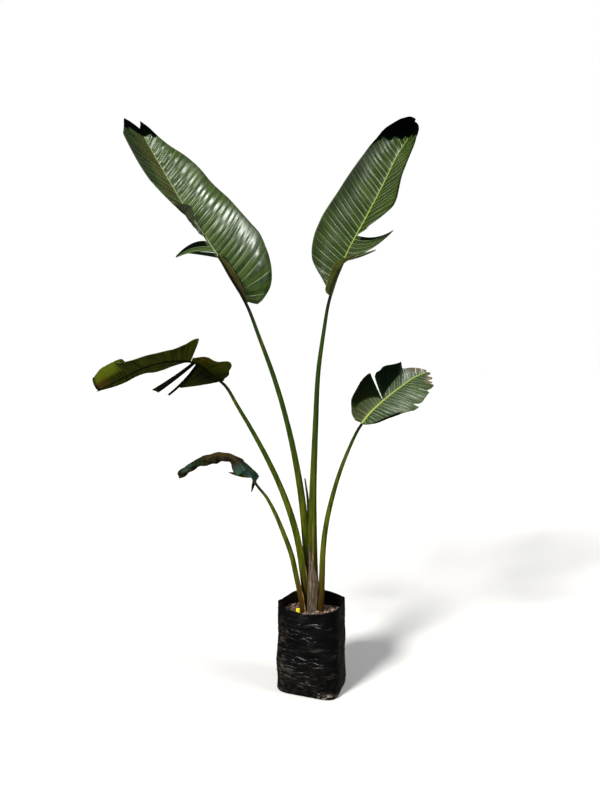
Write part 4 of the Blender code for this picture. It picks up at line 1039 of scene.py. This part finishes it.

# The right short leaf
# A broad young leaf held flat to the front, with a bright midrib. Its left half is torn into two
# lobes painted dark with shade, its right half has an open notch, and its far end is frayed and dry.
RIGHT_SHORT = {
    "midrib": [(0.138, 0.0, 0.819), (0.159, 0.0, 0.846), (0.188, 0.0, 0.875),
               (0.226, 0.005, 0.907), (0.266, 0.010, 0.936), (0.292, 0.020, 0.953),
               (0.337, 0.030, 0.973)],
    "facing": (-0.3, -0.8, 0.5), "veins": 24, "pleat": 0.35, "rib": 1.25,
    "right": {
        "width": [(0, 0.006), (0.05, 0.024), (0.1, 0.042), (0.2, 0.066), (0.28, 0.085),
                  (0.35, 0.102), (0.38, 0.108), (0.469, 0.107), (0.476, 0.084), (0.53, 0.1),
                  (0.6, 0.095), (0.66, 0.089), (0.665, 0.078), (0.70, 0.084), (0.798, 0.069),
                  (0.803, 0.052), (0.84, 0.060), (0.858, 0.055), (0.863, 0.040),
                  (0.90, 0.044), (0.928, 0.036), (0.934, 0.022), (0.97, 0.022), (1, 0.010)],
        "slant": [(0, -15), (0.2, 16), (0.35, 20), (0.50, 19), (0.55, 25), (0.8, 27), (1, 40)],
        "lift": 20,
        "curl": [(0, -20), (0.5, -20), (1, -10)],
        "tears": [(0.47, 0.72), (0.66, 0.6), (0.80, 0.45), (0.86, 0.3), (0.93, 0.3)]},
    "left": {
        "width": [(0, 0.020), (0.05, 0.042), (0.1, 0.057), (0.15, 0.075), (0.2, 0.083),
                  (0.3, 0.097), (0.362, 0.098), (0.368, 0.080), (0.385, 0.089), (0.42, 0.097),
                  (0.5, 0.090), (0.6, 0.079), (0.66, 0.072), (0.69, 0.053), (0.8, 0.037),
                  (0.9, 0.023), (1, 0.008)],
        "slant": [(0, -15), (0.1, -8), (0.2, 2), (0.3, 14), (0.38, 22), (0.39, 30), (0.5, 36),
                  (0.66, 34), (0.8, 26), (1, 40)],
        "lift": 15,
        "curl": [(0, 50), (0.6, 50), (0.7, 10), (1, 0)],
        "tears": [(0.365, 0.08), (0.86, 0.4), (0.93, 0.3)],
        "strips": [{"from": 0.28, "to": 0.365, "centre": 0.28, "taper": 0.35}]},
    # The dark patches, the two black lobes among them, are painted shade.
    "marks": [("dark", -1, (-0.1, 0.3), (0.1, 1.2), 0.08, 0.42),
              ("pale", -1, (-0.1, 0.3), (0.05, 1.2), 0.08, 0.22),
              ("dark", -1, (0.10, 0.40), ((0.70, 0.02), 1.2), 0.06, 0.95),
              ("dark", -1, (0.34, 0.64), ((0.05, 0.55), 1.2), 0.06, 0.95),
              ("dark", 1, (0.08, 0.30), (0.86, 1.2), 0.04, 0.95),
              ("warm", 1, (0.78, 1.0), (0.65, 1.2), 0.08, 0.65),
              ("warm", -1, (0.80, 1.0), (0.6, 1.2), 0.08, 0.5)]}
grow("right_short", RIGHT_SHORT,
     [(0.0145, -0.020, 0.201), (0.0155, -0.020, 0.259), (0.018, -0.018, 0.353),
      (0.0200, -0.016, 0.422), (0.0310, -0.012, 0.512), (0.0470, -0.007, 0.584),
      (0.0705, -0.003, 0.665), (0.106, 0.0, 0.7555), (0.118, 0.0, 0.782)],
     [(0, 0.0105), (0.3, 0.0095), (0.6, 0.0072), (1, 0.0042)], upper=UPPER_YOUNG, turn=0.45)

# The cut stub and the dry sheath
# What is left of two old leaves: a stalk cut off at knee height behind the crown, and the papery
# grey-brown foot of a leaf, split to a point, in front of it.
STUB_CRIMP = 0.18
SHEATH_RIB = 0.0007
FIBRE_DARK = (0.030, 0.021, 0.010, 1)
FIBRE_PALE = (0.20, 0.165, 0.115, 1)
FIBRE_BROWN = (0.065, 0.042, 0.014, 1)
stub_line = [(-0.019, 0.038, 0.201), (-0.019, 0.038, 0.30), (-0.022, 0.037, 0.478),
             (-0.0247, 0.033, 0.574), (-0.0338, 0.030, 0.643)]
us = np.r_[0, np.linspace(0, 1, 60), 1]
spots = path(stub_line, us)[0]
thin = read([(0, 0.0045), (0.85, 0.0042), (1, 0.0025)], us)
thin[0] = thin[-1] = 0
a = np.linspace(0, -2 * math.pi, 17)[None]
crimp = 1 - STUB_CRIMP * np.abs(np.sin(2.5 * a + 6 * us[:, None]))
circle = np.stack([np.cos(a), np.sin(a), 0 * a], -1)
grid = spots[:, None] + (thin[:, None] * crimp)[..., None] * circle
stub = surface("dry_stub", grid + CROWN, weld=True)
made, tree, shader = finish("dry_fibre", 0.8, 0.2)
at = place(tree)
fibre = grain(tree, at, (700, 700, 16), 5.0)
patch = grain(tree, at, 45.0, 3.0)
tone = blend(tree, span(tree, fibre, 0.38, 0.68), FIBRE_DARK, FIBRE_PALE)
tone = blend(tree, span(tree, patch, 0.45, 0.65, 0.0, 0.7), tone, FIBRE_BROWN)
wear(tree, shader, colour=tone, height=fibre, depth=0.0016, strength=0.9)
stub.data.materials.append(made)
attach(stub, "root")
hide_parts("cut_stub")

sheath = strap("papery_sheath", [(-0.0125, -0.035, 0.203), (-0.0125, -0.035, 0.249),
                                 (-0.0105, -0.0345, 0.343), (-0.0165, -0.032, 0.405),
                                 (-0.0253, -0.028, 0.4535)],
               [(0, 0.029), (0.5, 0.031), (0.72, 0.017), (0.86, 0.009), (1, 0.001)],
               thick=0.0016, cup=0.003, stations=120, columns=41)
points = np.array([v.co for v in sheath.data.vertices])
ribs = SHEATH_RIB * np.abs(np.sin(900 * points[:, 0] + 9 * np.sin(14 * points[:, 2])))
points[:, 1] -= ribs
sheath.data.vertices.foreach_set("co", points.ravel())
sheath.data.materials.append(made)
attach(sheath, "root")
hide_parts("dry_sheath")

# The setting
# A plain pale floor under soft light, seen from about waist height. Two lamps light the colours,
# and the others give only the gloss of the leaves and the film.
FLOOR_PALE = (0.86, 0.86, 0.86, 1)
floor_mesh = bpy.data.meshes.new("floor")
floor_mesh.from_pydata([(-30, -30, 0), (30, -30, 0), (30, 30, 0), (-30, 30, 0)], [], [(0, 1, 2, 3)])
floor = put("floor", floor_mesh)
made, tree, shader = finish("pale_floor", 0.9, 0.1)
shader.inputs["Base Color"].default_value = FLOOR_PALE
floor_mesh.materials.append(made)
floor.visible_glossy = False

world = bpy.data.worlds.new("studio")
bpy.context.scene.world = world
world.use_nodes = True
sky = world.node_tree
behind = sky.nodes["Background"]
behind.inputs["Color"].default_value = (1, 1, 1, 1)
behind.inputs["Strength"].default_value = 1.0
room = node(sky, "ShaderNodeBackground", {"Color": (0.92, 0.96, 1, 1), "Strength": 0.22})
faint = node(sky, "ShaderNodeBackground", {"Color": (1, 1, 0.9, 1), "Strength": 0.04})
rays = node(sky, "ShaderNodeLightPath").outputs
around_it = node(sky, "ShaderNodeMixShader",
                 {0: rays["Is Glossy Ray"], 1: room.outputs[0], 2: faint.outputs[0]})
both = node(sky, "ShaderNodeMixShader",
            {0: rays["Is Camera Ray"], 1: around_it.outputs[0], 2: behind.outputs[0]})
sky.links.new(both.outputs[0], sky.nodes["World Output"].inputs["Surface"])


LIT_SPOT = (0, 0, 0.9)
LAMP_FAR = 6


def lamp(name, direction, strength, width):
    """A sun that shines along a direction through the lit spot, and is so many degrees across."""
    light = bpy.data.lights.new(name, "SUN")
    light.energy = strength
    light.angle = math.radians(width)
    made = put(name, light)
    way = unit(np.array(direction, float))
    made.location = np.array(LIT_SPOT) - LAMP_FAR * way
    yaw = math.atan2(way[1], way[0]) - math.pi / 2
    made.rotation_euler = (math.pi / 2 + math.asin(way[2]), 0, yaw)
    return made


WARM_LIGHT = (1, 0.98, 0.94)
for name, direction, strength, width in (("key", (0.57, 0.60, -0.68), 4.4, 14),
                                         ("side", (-0.60, 0.20, -0.75), 0.9, 20)):
    soft = lamp(name, direction, strength, width)
    soft.data.color = WARM_LIGHT
    soft.visible_glossy = False
for name, direction, strength, width in (("front_gloss", (-0.21, 0.64, -0.74), 1.2, 10),
                                         ("right_gloss", (-0.68, 0.31, -0.66), 2.4, 12),
                                         ("left_gloss", (0.45, 0.24, -0.86), 1.1, 12),
                                         ("middle_gloss", (0.12, 0.89, -0.44), 0.22, 7),
                                         ("bag_gloss", (0.55, 0.80, -0.12), 0.9, 10)):
    streak = lamp(name, direction, strength, width)
    streak.visible_diffuse = False

CAMERA_SPOT = (-0.036, -1.7935, 1.04)
CAMERA_DOWN = math.radians(4.76)
CAMERA_SENSOR = 36
CAMERA_LENS = 27
camera = bpy.data.cameras.new("camera")
camera.sensor_fit = "VERTICAL"
camera.sensor_height = CAMERA_SENSOR
camera.lens = CAMERA_LENS
eye = put("camera", camera)
eye.location = CAMERA_SPOT
eye.rotation_euler = (math.pi / 2 - CAMERA_DOWN, 0, 0)
bpy.context.scene.camera = eye
bpy.context.scene.view_settings.view_transform = "Standard"
